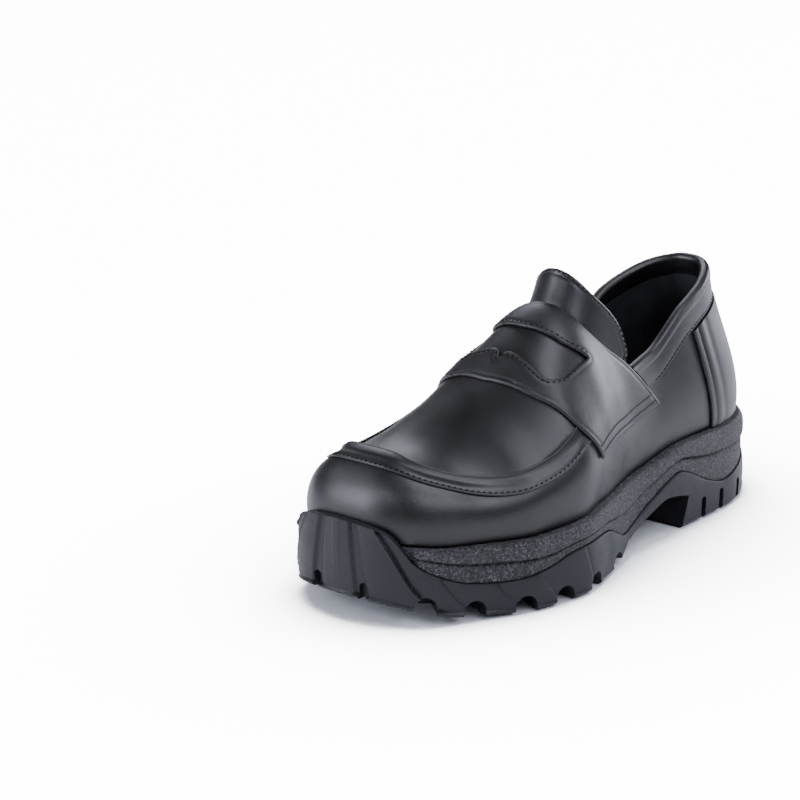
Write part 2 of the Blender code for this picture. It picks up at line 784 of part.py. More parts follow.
def band_loop(along):
    """The collar band's section: down the outside of the wall, over its edge and down the inside."""
    near, far = GAP, GAP + COLLAR_BAND_THICKNESS
    loop = []
    for drop, high in ((1.0, near), (1.0, far * 0.7), (0.6, far), (0.25, far)):
        turn = band_turn(1, along)
        place = 2 - share_below_edge(turn, COLLAR_BAND_HEIGHT * drop)
        turn = band_turn(place, along)
        share = share_below_edge(turn, COLLAR_BAND_HEIGHT * drop)
        loop.append(wall_point(turn, share) + wall_normal(turn, share) * high)
    turn = band_turn(1, along)
    normal = wall_normal(turn, 1)
    upward = (edge_point(turn) - wall_point(turn, 0.96)).normalized()
    middle = edge_point(turn) - normal * UPPER_WALL / 2
    inside = share_below_edge(turn, COLLAR_BAND_INSIDE)
    low = wall_point(turn, inside)
    for k in range(5):
        angle = math.pi * k / 4
        reach = UPPER_WALL / 2 + far
        loop.append(middle + normal * reach * math.cos(angle) + upward * reach * math.sin(angle))
    low_normal = wall_normal(turn, inside)
    loop.append(low - low_normal * (UPPER_WALL + far))
    loop.append(low - low_normal * (UPPER_WALL + near))
    for k in range(4, -1, -1):
        angle = math.pi * k / 4
        reach = UPPER_WALL / 2 + near + (0.25 * UPPER_WALL if k in (1, 3) else 0)
        loop.append(middle + normal * reach * math.cos(angle) + upward * reach * math.sin(angle))
    share = share_below_edge(turn, COLLAR_BAND_HEIGHT * 0.5)
    turn = band_turn(2 - share, along)
    share = share_below_edge(turn, COLLAR_BAND_HEIGHT * 0.5)
    loop.append(wall_point(turn, share) + wall_normal(turn, share) * near)
    return loop


def make_collar_band():
    """The binding folded over the top line, from one end of the strap round the heel to the other."""
    loops = [band_loop(along) for along in shares(34)]
    return loop_solid("collar_band", loops, make_material("smooth_leather", SMOOTH_LEATHER))


def make_counter():
    """The overlay round the back of the heel, between the midsole and the collar band."""
    rows = []
    for share in shares(7):
        front = blend_at(COUNTER_FRONTS, "turn", share)
        row = []
        for along in shares(18, front, -front):
            top = share_below_edge(along, COLLAR_BAND_HEIGHT + 2 * GAP)
            height = mix(0.02, top, share)
            row.append((wall_point(along, height), wall_normal(along, height)))
        rows.append(row)
    material = make_material("smooth_leather", SMOOTH_LEATHER)
    return sheet_solid("heel_counter", rows, GAP, GAP + COUNTER_THICKNESS, material)


def seam_turn(place, along):
    """A turn along the raised seam, from the strap's outer end round the toe to its inner end."""
    start = turn_of(blend_at(STRAPS, "front", place) + 4 * GAP / SOLE_LENGTH, 1)
    return mix(start, 2 - start, along)


def seam_loop(along, apron):
    """The raised seam's section: up the outside of the wall, over its edge and down onto the apron."""
    loop = []
    for drop, high in ((1, 0), (1, 0.35), (0.5, 0.65)):
        turn = seam_turn(1, along)
        turn = seam_turn(2 - share_below_edge(turn, SEAM_HEIGHT * drop), along)
        share = share_below_edge(turn, SEAM_HEIGHT * drop)
        loop.append(wall_point(turn, share) + wall_normal(turn, share) * (GAP + SEAM_STAND * high))
    edge_turn = seam_turn(1, along)
    normal = wall_normal(edge_turn, 1)
    loop.append(edge_point(edge_turn) + normal * (GAP + SEAM_STAND * 0.9))
    for across, high in ((0.35, 1.15), (0.8, 0.95), (1, 0.4), (1, 0.15)):
        turn = seam_turn(0.9, along)
        place = at(turn, -edge_inset(turn) - SEAM_WIDTH * across, 0)
        hit = apron.ray_cast(Vector((place.x, place.y, 1)), Vector((0, 0, -1)))[0]
        ground = hit.z if hit else edge_point(turn).z
        loop.append(Vector((place.x, place.y, ground + GAP + SEAM_STAND * high)))
    loop.append(edge_point(edge_turn) + normal * GAP * 1.6)
    turn = seam_turn(2 - share_below_edge(edge_turn, SEAM_HEIGHT / 2), along)
    share = share_below_edge(turn, SEAM_HEIGHT / 2)
    loop.append(wall_point(turn, share) + wall_normal(turn, share) * GAP)
    return loop


def make_apron_seam(upper):
    """The raised seam round the apron, from one side of the strap round the toe to the other."""
    form = bmesh.new()
    form.from_mesh(upper.data)
    apron = BVHTree.FromBMesh(form)
    form.free()
    loops = [seam_loop(along, apron) for along in shares(40)]
    return loop_solid("apron_seam", loops, make_material("smooth_leather", SMOOTH_LEATHER))


def clear_scene():
    for made in list(bpy.data.objects):
        bpy.data.objects.remove(made)


def main():
    clear_scene()
    make_outsole()
    make_midsole()
    make_insole()
    upper = make_upper()
    make_apron_seam(upper)
    make_tongue()
    make_strap()
    make_collar_band()
    make_counter()


main()
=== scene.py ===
# %% [markdown]
# # A chunky lug sole loafer
# The real shoe is a smooth black leather loafer on a thick rubber sole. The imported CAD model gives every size
# and place. This lesson dresses it: finer meshes for the same forms, soft creases, rolled edges, stitches and
# procedural materials.

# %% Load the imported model
import json
import math
from collections import namedtuple

import bmesh
import bpy
import numpy as np
from mathutils import Matrix, Vector
from mathutils.bvhtree import BVHTree

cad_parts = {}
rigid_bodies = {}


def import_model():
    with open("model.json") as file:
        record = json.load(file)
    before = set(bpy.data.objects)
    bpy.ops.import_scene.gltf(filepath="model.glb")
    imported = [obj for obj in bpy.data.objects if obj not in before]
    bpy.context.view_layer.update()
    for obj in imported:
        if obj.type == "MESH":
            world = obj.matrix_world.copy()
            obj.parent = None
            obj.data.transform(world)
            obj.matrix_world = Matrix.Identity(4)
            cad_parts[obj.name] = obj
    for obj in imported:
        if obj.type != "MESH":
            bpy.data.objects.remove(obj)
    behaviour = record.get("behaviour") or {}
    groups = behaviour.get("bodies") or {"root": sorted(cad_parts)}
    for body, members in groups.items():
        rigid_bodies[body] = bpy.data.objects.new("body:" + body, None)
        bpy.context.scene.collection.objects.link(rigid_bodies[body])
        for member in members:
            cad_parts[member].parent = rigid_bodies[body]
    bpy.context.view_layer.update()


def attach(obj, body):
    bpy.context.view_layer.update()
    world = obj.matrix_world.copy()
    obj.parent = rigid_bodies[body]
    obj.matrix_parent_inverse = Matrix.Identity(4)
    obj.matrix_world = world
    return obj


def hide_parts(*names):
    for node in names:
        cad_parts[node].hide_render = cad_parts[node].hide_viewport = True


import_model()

# %% [markdown]
# ## The sizes of the last and the sole
# A shoe is drawn on a last, so its pieces are all functions of the same few curves. They are written here
# again in metres, because every dressed piece has to sit exactly where its CAD solid sits. A turn goes round
# the outline: 0 at the heel, 1 at the tip of the toe, 2 back at the heel. A station goes from the heel, 0, to
# the toe, 1.

# %% Sizes
MM = 0.001
SOLE_LENGTH = 290 * MM
BALL_WIDTH = 115 * MM
FOREFOOT_HEIGHT = 35.5 * MM
HEEL_HEIGHT = 43.5 * MM
TOE_SPRING = 12 * MM
HEEL_BEVEL = 6 * MM
RIM_WALL = 4 * MM
RIM_DEPTH = 1.2 * MM
WALL_ROUNDING = 3 * MM
MIDSOLE_STEP = 1.2 * MM
MIDSOLE_GROOVE = 1.8 * MM
NOTCH_WIDTH = 11.5 * MM
NOTCH_DEPTH = 8.5 * MM
NOTCH_REACH = 26 * MM
TOE_NOTCH_WIDTH = 5 * MM
HEEL_SLOT_WIDTH = 4 * MM
HEEL_SLOT_DEPTH = 12 * MM
TREAD_CHANNEL = 6 * MM
TREAD_DEPTH = 6 * MM
UPPER_WALL = 2 * MM
LEDGE = 6 * MM
TOE_WALL_HEIGHT = 20 * MM
COLLAR_HEIGHT = 79 * MM
INNER_LIFT = 2 * MM
INSTEP_RISE = 36 * MM
STRAP_THICKNESS = 1.6 * MM
TONGUE_THICKNESS = 3 * MM
TONGUE_RISE = 18 * MM
TONGUE_BACK = 9 * MM
COLLAR_BAND_HEIGHT = 14 * MM
COUNTER_THICKNESS = 1.4 * MM
INSOLE_THICKNESS = 4 * MM
GAP = 0.3 * MM
THROAT = 0.526
TOP_SPRING_SHARE = 0.4
HEEL_END, HEEL_SQUARENESS = 0.16, 2.3
TOE_END, TOE_SQUARENESS = 0.225, 2.75
WAIST_FRONT, WAIST_BACK = 0.531, 0.301
WAIST_FRONT_SLANT, WAIST_BACK_SLANT = 0.047, -0.018
APRON_ROUNDNESS = 2.2
STRAP_END = 1.49
SLOT_END = 0.77
TONGUE_SIDE = 0.95
print("sole", SOLE_LENGTH, "m long")

# %% Tables of the sole
Outline = namedtuple("Outline", "station outer inner")
OUTLINES = (
    Outline(0.00, 0.316, 0.316),
    Outline(0.20, 0.377, 0.355),
    Outline(0.42, 0.401, 0.326),
    Outline(0.56, 0.498, 0.360),
    Outline(0.66, 0.566, 0.412),
    Outline(0.76, 0.533, 0.470),
    Outline(0.86, 0.428, 0.518),
    Outline(1.00, 0.355, 0.511),
)
Tread = namedtuple("Tread", "station rise spring bevel")
TREADS = (
    Tread(0.00, 1.02, 0.00, 1.0),
    Tread(0.07, 1.00, 0.00, 0.2),
    Tread(0.12, 0.98, 0.00, 0.0),
    Tread(0.28, 1.10, 0.00, 0.0),
    Tread(0.40, 0.52, 0.00, 0.0),
    Tread(0.50, 0.14, 0.00, 0.0),
    Tread(0.65, 0.12, 0.00, 0.0),
    Tread(0.78, 0.00, 0.02, 0.0),
    Tread(0.90, 0.00, 0.25, 0.0),
    Tread(1.00, 0.00, 1.00, 0.0),
)
SoleSide = namedtuple("SoleSide", "station edge floor waist groove")
SOLE_SIDES = (
    SoleSide(0.00, 0.53, 0.44, 0.36, 0.76),
    SoleSide(0.05, 0.49, 0.40, 0.36, 0.74),
    SoleSide(0.10, 0.41, 0.34, 0.36, 0.72),
    SoleSide(0.16, 0.35, 0.29, 0.36, 0.72),
    SoleSide(0.22, 0.45, 0.38, 0.36, 0.74),
    SoleSide(0.27, 0.61, 0.54, 0.36, 0.80),
    SoleSide(0.31, 0.70, 0.62, 0.42, 0.84),
    SoleSide(0.35, 0.65, 0.59, 0.47, 0.82),
    SoleSide(0.40, 0.55, 0.50, 0.40, 0.76),
    SoleSide(0.45, 0.42, 0.39, 0.31, 0.70),
    SoleSide(0.49, 0.37, 0.34, 0.26, 0.68),
    SoleSide(0.53, 0.50, 0.44, 0.26, 0.71),
    SoleSide(0.57, 0.64, 0.56, 0.26, 0.76),
    SoleSide(0.63, 0.69, 0.60, 0.26, 0.79),
    SoleSide(0.69, 0.67, 0.56, 0.26, 0.77),
    SoleSide(0.75, 0.55, 0.47, 0.26, 0.72),
    SoleSide(0.82, 0.48, 0.41, 0.26, 0.74),
    SoleSide(0.88, 0.53, 0.43, 0.26, 0.78),
    SoleSide(0.935, 0.69, 0.46, 0.26, 0.86),
    SoleSide(0.960, 0.84, 0.48, 0.26, 0.90),
    SoleSide(0.972, 1.02, 0.48, 0.26, 0.92),
    SoleSide(0.982, 1.15, 0.50, 0.26, 0.92),
    SoleSide(1.00, 1.25, 0.52, 0.26, 0.92),
)
NOTCH_TURNS = (0.520, 0.583, 0.640, 0.698, 0.768, 0.850)
TOE_NOTCH_TURNS = (0.965,)
HEEL_SLOT_TURNS = (0.322, 0.276, 0.215)

# %% Tables of the upper
Form = namedtuple("Form", "station outer inner rise lift crown foot_out foot_up shoulder_out shoulder_drop")
FORMS = (
    Form(0.00, 0.370, 0.370, 1.00, 0.0, 0.00, 0.05, 0.34, 0.03, 0.36),
    Form(0.10, 0.335, 0.330, 0.94, 0.1, 0.24, 0.06, 0.34, 0.04, 0.34),
    Form(0.22, 0.278, 0.265, 0.77, 0.4, 0.54, 0.07, 0.34, 0.05, 0.32),
    Form(0.34, 0.245, 0.245, 0.50, 0.2, 0.81, 0.06, 0.34, 0.08, 0.30),
    Form(0.44, 0.192, 0.200, 0.50, 0.0, 0.98, 0.06, 0.36, 0.12, 0.28),
    Form(0.52, 0.173, 0.173, 0.56, 0.0, 1.01, 0.08, 0.38, 0.16, 0.28),
    Form(0.62, 0.177, 0.190, 0.40, 0.3, 0.92, 0.12, 0.42, 0.24, 0.26),
    Form(0.72, 0.197, 0.200, 0.19, 0.9, 0.66, 0.14, 0.46, 0.30, 0.22),
    Form(0.82, 0.268, 0.268, 0.11, 1.0, 0.40, 0.13, 0.47, 0.38, 0.18),
    Form(0.92, 0.383, 0.383, 0.20, 0.5, 0.15, 0.10, 0.46, 0.42, 0.15),
    Form(1.00, 0.460, 0.460, 0.27, 0.0, 0.00, 0.08, 0.45, 0.43, 0.14),
)
Strap = namedtuple("Strap", "place front back")
STRAPS = (
    Strap(0.00, 0.689, 0.519),
    Strap(0.50, 0.675, 0.497),
    Strap(1.00, 0.632, 0.403),
    Strap(1.49, 0.596, 0.342),
)
Slot = namedtuple("Slot", "reach front back")
SLOTS = (
    Slot(0.00, 0.215, 0.60),
    Slot(0.06, 0.290, 0.60),
    Slot(0.14, 0.300, 0.60),
    Slot(0.45, 0.250, 0.60),
    Slot(0.75, 0.200, 0.60),
    Slot(0.90, 0.280, 0.60),
    Slot(0.97, 0.420, 0.60),
    Slot(1.00, 0.560, 0.60),
)
Tip = namedtuple("Tip", "place reach")
TIPS = (
    Tip(0.00, 1.00),
    Tip(0.45, 1.00),
    Tip(0.70, 0.92),
    Tip(0.85, 0.70),
    Tip(0.95, 0.30),
)
Front = namedtuple("Front", "share turn")
COUNTER_FRONTS = (
    Front(0.0, 0.284),
    Front(0.5, 0.294),
    Front(1.0, 0.302),
)
print(len(SOLE_SIDES), "sections of the sole,", len(FORMS), "of the upper")

# %% [markdown]
# ## The curves of the last
# Each function takes whole arrays of places at once. That keeps fine meshes quick to build, so the pieces can
# have a point every millimetre instead of every few.

# %% Curves
def blend_at(rows, column, station):
    """A column of a table at stations, on a curve through its rows that never swings past them."""
    places = np.array([row[0] for row in rows])
    values = np.array([getattr(row, column) for row in rows])
    gaps = np.diff(places)
    slopes = np.diff(values) / gaps
    tangents = np.zeros(len(places))
    tangents[0], tangents[-1] = slopes[0], slopes[-1]
    before, after = slopes[:-1], slopes[1:]
    same = before * after > 0
    tangents[1:-1] = np.where(same, 2 * before * after / np.where(same, before + after, 1), 0)
    inside = np.clip(station, places[0], places[-1])
    i = np.clip(np.searchsorted(places, inside, side="right") - 1, 0, len(gaps) - 1)
    x = (inside - places[i]) / gaps[i]
    a, b = tangents[i] * gaps[i], tangents[i + 1] * gaps[i]
    rise = values[i + 1] - values[i]
    return values[i] + x * (a + x * (3 * rise - 2 * a - b + x * (a + b - 2 * rise)))


def mix(a, b, share):
    return a + (b - a) * share


def smooth_step(low, high, x):
    """0 at low, 1 at high, with soft ends."""
    x = np.clip((x - low) / (high - low), 0, 1)
    return x * x * (3 - 2 * x)


def dot(a, b):
    return (a * b).sum(-1)


def unit(a):
    return a / np.maximum(np.linalg.norm(a, axis=-1, keepdims=True), 1e-12)


def station_of(turn):
    return (1 - np.cos(np.pi * (turn % 2))) / 2


def turn_of(station, side):
    """The turn at a station on the outer side, 1, or the inner side, -1."""
    along = np.arccos(np.clip(1 - 2 * station, -1, 1)) / np.pi
    return np.where(side > 0, along, 2 - along)


def y_of(station):
    return SOLE_LENGTH * (0.5 - station)


# %% The sole's outline
def rounded_ends(station):
    heel = np.maximum(0, 1 - station / HEEL_END)
    toe = np.maximum(0, 1 - (1 - station) / TOE_END)
    at_heel = np.maximum(0, 1 - heel**HEEL_SQUARENESS) ** (1 / HEEL_SQUARENESS)
    at_toe = np.maximum(0, 1 - toe**TOE_SQUARENESS) ** (1 / TOE_SQUARENESS)
    return at_heel * at_toe


def outline_x(turn):
    station = station_of(turn)
    outer = BALL_WIDTH * blend_at(OUTLINES, "outer", station)
    inner = BALL_WIDTH * blend_at(OUTLINES, "inner", station)
    side = np.where(turn % 2 <= 1, 1, -1)
    return (outer - inner) / 2 + side * (outer + inner) / 2 * rounded_ends(station)


around = outline_x(np.arange(200) / 100)
MIDDLE_X = (around.max() + around.min()) / 2


def outline(turn):
    turn = np.asarray(turn, dtype=float)
    return np.stack((outline_x(turn) - MIDDLE_X, y_of(station_of(turn)), 0 * turn), -1)


def outward(turn):
    """The outline's outward direction, level with the floor."""
    step = 0.01
    run = outline(turn + step) - outline(turn - step)
    return unit(np.stack((-run[..., 1], run[..., 0], 0 * run[..., 0]), -1))


def at(turn, offset, height):
    """Points above the floor, offset outwards from the sole's outline."""
    turn, offset, height = np.broadcast_arrays(np.asarray(turn, dtype=float), offset, height)
    place = outline(turn) + outward(turn) * offset[..., None]
    place[..., 2] = height
    return place


def bottom_height(station):
    return TOE_SPRING * blend_at(TREADS, "spring", station) + HEEL_BEVEL * blend_at(TREADS, "bevel", station)


def feather_height(station):
    """The top of the midsole, where the upper starts."""
    rise = blend_at(TREADS, "rise", station)
    spring = TOP_SPRING_SHARE * TOE_SPRING * blend_at(TREADS, "spring", station)
    return mix(FOREFOOT_HEIGHT, HEEL_HEIGHT, rise) + spring


def side_height(column, station):
    return blend_at(SOLE_SIDES, column, station) * feather_height(station)


def recess_floor(station):
    return np.minimum(side_height("floor", station), side_height("edge", station) - RIM_DEPTH)


print("outline middle", round(MIDDLE_X / MM, 2), "mm")

# %% The upper's surface
def edge_inset(turn):
    station = station_of(turn)
    outer, inner = blend_at(FORMS, "outer", station), blend_at(FORMS, "inner", station)
    return np.where(turn % 2 <= 1, outer, inner) * BALL_WIDTH / 2


def edge_height(turn):
    station = station_of(turn)
    wall = mix(TOE_WALL_HEIGHT, COLLAR_HEIGHT, blend_at(FORMS, "rise", station))
    lift = INNER_LIFT * blend_at(FORMS, "lift", station) * (turn % 2 > 1)
    return feather_height(station) + wall + lift


def edge_point(turn):
    """The upper's edge: the raised seam in front and the top line behind."""
    return at(turn, -edge_inset(turn), edge_height(turn))


def wall_point(turn, share):
    """The outside of the upper's wall, from the midsole at share 0 to its edge at 1."""
    turn, share = np.broadcast_arrays(np.asarray(turn, dtype=float), share)
    station = station_of(turn)
    foot = feather_height(station) + GAP
    top = edge_height(turn)
    tall = top - foot
    inset = edge_inset(turn)
    outs = (
        -LEDGE + 0 * tall,
        -LEDGE + blend_at(FORMS, "foot_out", station) * tall,
        -inset + blend_at(FORMS, "shoulder_out", station) * tall,
        -inset,
    )
    ups = (
        foot,
        foot + blend_at(FORMS, "foot_up", station) * tall,
        top - blend_at(FORMS, "shoulder_drop", station) * tall,
        top,
    )
    back = 1 - share
    weights = (back**3, 3 * back**2 * share, 3 * back * share**2, share**3)
    offset = sum(w * out for w, out in zip(weights, outs))
    height = sum(w * up for w, up in zip(weights, ups))
    return at(turn, offset, height)


def wall_normal(turn, share):
    """The wall's outward direction, square to it in the upright plane that runs out from the sole."""
    run = wall_point(turn, np.minimum(1, share + 0.02)) - wall_point(turn, np.maximum(0, share - 0.02))
    out = np.broadcast_to(outward(np.asarray(turn, dtype=float)), run.shape)
    rise = dot(run, out)
    up = np.zeros_like(run)
    up[..., 2] = 1
    return unit(out * run[..., 2:3] - up * rise[..., None])


def apron_point(station, across):
    """The top of the instep, from the outer edge at across 1 to the inner edge at -1."""
    station, across = np.broadcast_arrays(np.asarray(station, dtype=float), across)
    outer = edge_point(turn_of(station, 1))
    inner = edge_point(turn_of(station, -1))
    crown = INSTEP_RISE * blend_at(FORMS, "crown", station)
    place = mix(outer, inner, (1 - across[..., None]) / 2)
    place[..., 2] += crown * (1 - abs(across) ** APRON_ROUNDNESS)
    return place


def upper_point(station, place):
    """The upper's outside: place 0 is the middle line, 1 the edge and 2 the sole, minus inside."""
    station, place = np.broadcast_arrays(np.asarray(station, dtype=float), np.asarray(place, dtype=float))
    top = apron_point(station, np.clip(place, -1, 1))
    side = wall_point(turn_of(station, np.where(place > 0, 1, -1)), np.clip(2 - abs(place), 0, 1))
    return np.where((abs(place) <= 1)[..., None], top, side)


def surface_normal(point_at, a, b, step=0.01):
    """The outward normal of a surface that runs to the toe with a and to the outer side with b."""
    along = point_at(a + step, b) - point_at(a - step, b)
    across = point_at(a, b + step) - point_at(a, b - step)
    return unit(np.cross(along, across))


WALL_STEPS = 61


def share_below_edge(turn, drop):
    """The share of the wall's height that lies a distance below its edge, measured along the wall."""
    turn, drop = np.broadcast_arrays(np.asarray(turn, dtype=float), drop)
    steps = np.linspace(1, 0, WALL_STEPS)
    column = wall_point(turn[..., None], steps)
    lengths = np.linalg.norm(np.diff(column, axis=-2), axis=-1)
    depth = np.concatenate((np.zeros(turn.shape + (1,)), np.cumsum(lengths, -1)), -1)
    flat = [np.interp(d, row, steps) for d, row in zip(drop.ravel(), depth.reshape(-1, WALL_STEPS))]
    return np.array(flat).reshape(turn.shape)


def below_edge(turn_at, drop):
    """The turn and share a distance below the edge, where turn_at gives the turn at a place on the wall."""
    turn = turn_at(2 - share_below_edge(turn_at(1), drop))
    return turn, share_below_edge(turn, drop)


print("top line at the heel", np.round(edge_point(0.0) / MM, 1), "mm")

# %% [markdown]
# ## Tools for sewn leather
# Leather pieces are sheets with rounded, pressed edges. A Bevel modifier could round them, but it can't press
# a line beside a seam. So one helper measures how far each point is from the cut edge, and the thickness of
# the sheet follows that distance.

# %% Mesh tools
WELD = 0.01 * MM


def new_object(name, data, group=None):
    """An object in the scene, or in a group of its own."""
    made = bpy.data.objects.new(name, data)
    (group or bpy.context.scene.collection).objects.link(made)
    return made


def face_outwards(mesh, weld=None):
    """Turns the faces of a closed mesh outwards, once points closer than weld are joined."""
    form = bmesh.new()
    form.from_mesh(mesh)
    if weld:
        bmesh.ops.remove_doubles(form, verts=form.verts, dist=weld)
    bmesh.ops.recalc_face_normals(form, faces=form.faces)
    form.to_mesh(mesh)
    form.free()


def add_piece(name, points, faces, material, node=None, angle=40):
    """A smooth mesh object that rides on the shoe's one body."""
    mesh = bpy.data.meshes.new(name)
    mesh.from_pydata([tuple(p) for p in np.asarray(points).reshape(-1, 3)], [], faces)
    mesh.validate()
    face_outwards(mesh, WELD)
    mesh.shade_smooth()
    mesh.set_sharp_from_angle(angle=math.radians(angle))
    piece = new_object(name, mesh)
    mesh.materials.append(material)
    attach(piece, "root")
    if node:
        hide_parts(node)
    print(name, len(mesh.polygons), "faces")
    return piece


def grid_faces(rows, columns, wrap=False, start=0):
    """Quads over a grid of points. wrap joins the last column to the first."""
    faces = []
    for r in range(rows - 1):
        for c in range(columns if wrap else columns - 1):
            d = (c + 1) % columns
            base = start + r * columns
            faces.append((base + c, base + d, base + columns + d, base + columns + c))
    return faces


def border(rows, columns):
    """The indices round a grid, in order."""
    rim = list(range(columns))
    rim += [r * columns + columns - 1 for r in range(1, rows)]
    rim += [(rows - 1) * columns + c for c in range(columns - 2, -1, -1)]
    rim += [r * columns for r in range(rows - 2, 0, -1)]
    return rim


def bunched(count, start=0.0, end=1.0, pull=0.8):
    """Shares that crowd towards both ends, where an edge is rounded."""
    t = np.linspace(0, 1, count + 1)
    return start + (end - start) * (t - pull * np.sin(2 * np.pi * t) / (2 * np.pi))


def distance_to(points, line):
    """How far each point is from the nearest point of a line of points."""
    flat = points.reshape(-1, 3)
    nearest = np.full(len(flat), np.inf)
    for part in np.array_split(line, max(1, len(line) // 200)):
        gap = np.linalg.norm(flat[:, None, :] - part[None, :, :], axis=-1).min(1)
        nearest = np.minimum(nearest, gap)
    return nearest.reshape(points.shape[:-1])


def lengths_along(line):
    """The length walked at each point of a line of points."""
    return np.concatenate(([0], np.cumsum(np.linalg.norm(np.diff(line, axis=0), axis=1))))


def read_at(rows, lengths, wanted):
    """Points or directions, given at lengths along a line, read at other lengths."""
    return np.stack([np.interp(wanted, lengths, rows[:, k]) for k in range(3)], -1)


def resample(line, step):
    """A line of points again, with even steps."""
    lengths = lengths_along(line)
    count = max(2, int(round(lengths[-1] / step)) + 1)
    return read_at(line, lengths, np.linspace(0, lengths[-1], count))


def smoothed(grid, passes, axis):
    """The grid with its points eased towards their neighbours along one axis, its two ends kept."""
    grid = np.moveaxis(np.array(grid), axis, 0)
    for _ in range(passes):
        grid[1:-1] = (grid[:-2] + 2 * grid[1:-1] + grid[2:]) / 4
    return np.moveaxis(grid, 0, axis)


def rounded(distance, radius):
    """The height of a rounded edge, 0 at the rim and 1 from radius inwards."""
    x = np.clip(1 - distance / radius, 0, 1)
    return np.sqrt(1 - x * x)


def trough(distance, middle, width):
    """A soft pressed line at a distance from an edge."""
    return np.exp(-(((distance - middle) / width) ** 2))


def sheet(name, points, normals, low, high, material, node=None):
    """A closed sheet between two offsets from a grid of points. Each offset is a number or one per point."""
    rows, columns = points.shape[:2]
    offsets = [np.broadcast_to(offset, (rows, columns))[..., None] for offset in (low, high)]
    both = np.concatenate([(points + normals * offset).reshape(-1, 3) for offset in offsets])
    shift = rows * columns
    faces = grid_faces(rows, columns)
    faces += [tuple(shift + k for k in reversed(face)) for face in faces]
    rim = border(rows, columns)
    faces += [(a, b, shift + b, shift + a) for a, b in zip(rim, rim[1:] + rim[:1])]
    return add_piece(name, both, faces, material, node)


def swept_strip(name, section, material, node):
    """A strip along a way: rings of section points, each joined to the next, with both ends shut."""
    count, size = section.shape[:2]
    last = (count - 1) * size
    faces = grid_faces(count, size, wrap=True)
    faces += [tuple(range(size)), tuple(last + k for k in reversed(range(size)))]
    return add_piece(name, section, faces, material, node, angle=60)


# %% [markdown]
# ## Stitches
# A seam is a row of loops of waxed thread that dip into the leather at both ends. A bump map could draw them,
# but real threads stand out of the leather and catch the light, so each is a small bent tube with thin ends.

# %% Stitches
THREAD_RADIUS = 0.32 * MM
THREAD_TAPER = 0.85
THREAD_THINNEST = 0.05
THREAD_RINGS, THREAD_SIDES = 5, 6
STITCH_LENGTH = 2.0 * MM
STITCH_PITCH = 2.9 * MM
STITCH_BOW, STITCH_DIP = 0.7, 1.3
LOOK_AHEAD = 0.3 * MM


def stitch_row(name, line, normals, material, pitch=STITCH_PITCH, slant=0.0):
    """A row of thread loops along a line. slant turns each of them away from the line."""
    lengths = lengths_along(line)
    count = int(lengths[-1] / pitch)
    middles = (np.arange(count) + 0.5) * lengths[-1] / count
    place = read_at(line, lengths, middles)
    up = unit(read_at(normals, lengths, middles))
    ahead = read_at(line, lengths, middles + LOOK_AHEAD)
    along = unit(ahead - read_at(line, lengths, middles - LOOK_AHEAD))
    along = unit(along + unit(np.cross(up, along)) * slant)
    side = unit(np.cross(up, along))
    points = []
    for r in range(THREAD_RINGS):
        share = 2 * r / (THREAD_RINGS - 1) - 1
        thick = THREAD_RADIUS * math.sqrt(max(THREAD_THINNEST, 1 - THREAD_TAPER * share * share))
        bow = THREAD_RADIUS * (STITCH_BOW - STITCH_DIP * share * share)
        for s in range(THREAD_SIDES):
            angle = 2 * math.pi * s / THREAD_SIDES
            points.append(
                place
                + along * (share * STITCH_LENGTH / 2)
                + side * (thick * math.cos(angle))
                + up * (bow + thick * math.sin(angle))
            )
    faces = []
    size = THREAD_RINGS * THREAD_SIDES
    for k in range(count):
        start = k * size
        faces += grid_faces(THREAD_RINGS, THREAD_SIDES, wrap=True, start=start)
        faces.append(tuple(start + s for s in range(THREAD_SIDES)))
        faces.append(tuple(start + size - 1 - s for s in range(THREAD_SIDES)))
    return add_piece(name, np.stack(points, 1), faces, material, angle=80)


# %% [markdown]
# ## Materials
# Black leather and black rubber differ only in how they shine. The leather is a satin coat over fine grain,
# the rubber is dull and a little blue, and the midsole is covered with pebbles that show as grey specks.
# Pictures of hide could be used, but noise needs no image file and fits every piece. Grain and mottling are
# node groups, so that each material places them with its own size and strength.

# %% Shader groups
def new_group(name, inputs, outputs):
    group = bpy.data.node_groups.new(name, "ShaderNodeTree")
    for title, value in inputs:
        made = group.interface.new_socket(title, in_out="INPUT", socket_type="NodeSocketFloat")
        made.default_value = value
    for title in outputs:
        group.interface.new_socket(title, in_out="OUTPUT", socket_type="NodeSocketFloat")
    entry = group.nodes.new("NodeGroupInput")
    leave = group.nodes.new("NodeGroupOutput")
    return group, entry, leave


def add_node(tree, kind, **values):
    """A node with its properties, and its input sockets by name, set from values."""
    node = tree.nodes.new(kind)
    for key, value in values.items():
        if hasattr(node, key):
            setattr(node, key, value)
        else:
            node.inputs[key.replace("_", " ").title()].default_value = value
    return node


def math_node(tree, operation, first, second):
    """A math node on two values, each a number or another node's output."""
    node = tree.nodes.new("ShaderNodeMath")
    node.operation = operation
    for socket, value in zip(node.inputs, (first, second)):
        if isinstance(value, (int, float)):
            socket.default_value = value
        else:
            tree.links.new(value, socket)
    return node.outputs[0]


def scaled_place(tree, scale):
    """Object coordinates times a value, so that a size can come from a group's input."""
    place = tree.nodes.new("ShaderNodeTexCoord")
    stretch = tree.nodes.new("ShaderNodeVectorMath")
    stretch.operation = "SCALE"
    tree.links.new(place.outputs["Object"], stretch.inputs[0])
    if isinstance(scale, (int, float)):
        stretch.inputs["Scale"].default_value = scale
    else:
        tree.links.new(scale, stretch.inputs["Scale"])
    return stretch.outputs[0]


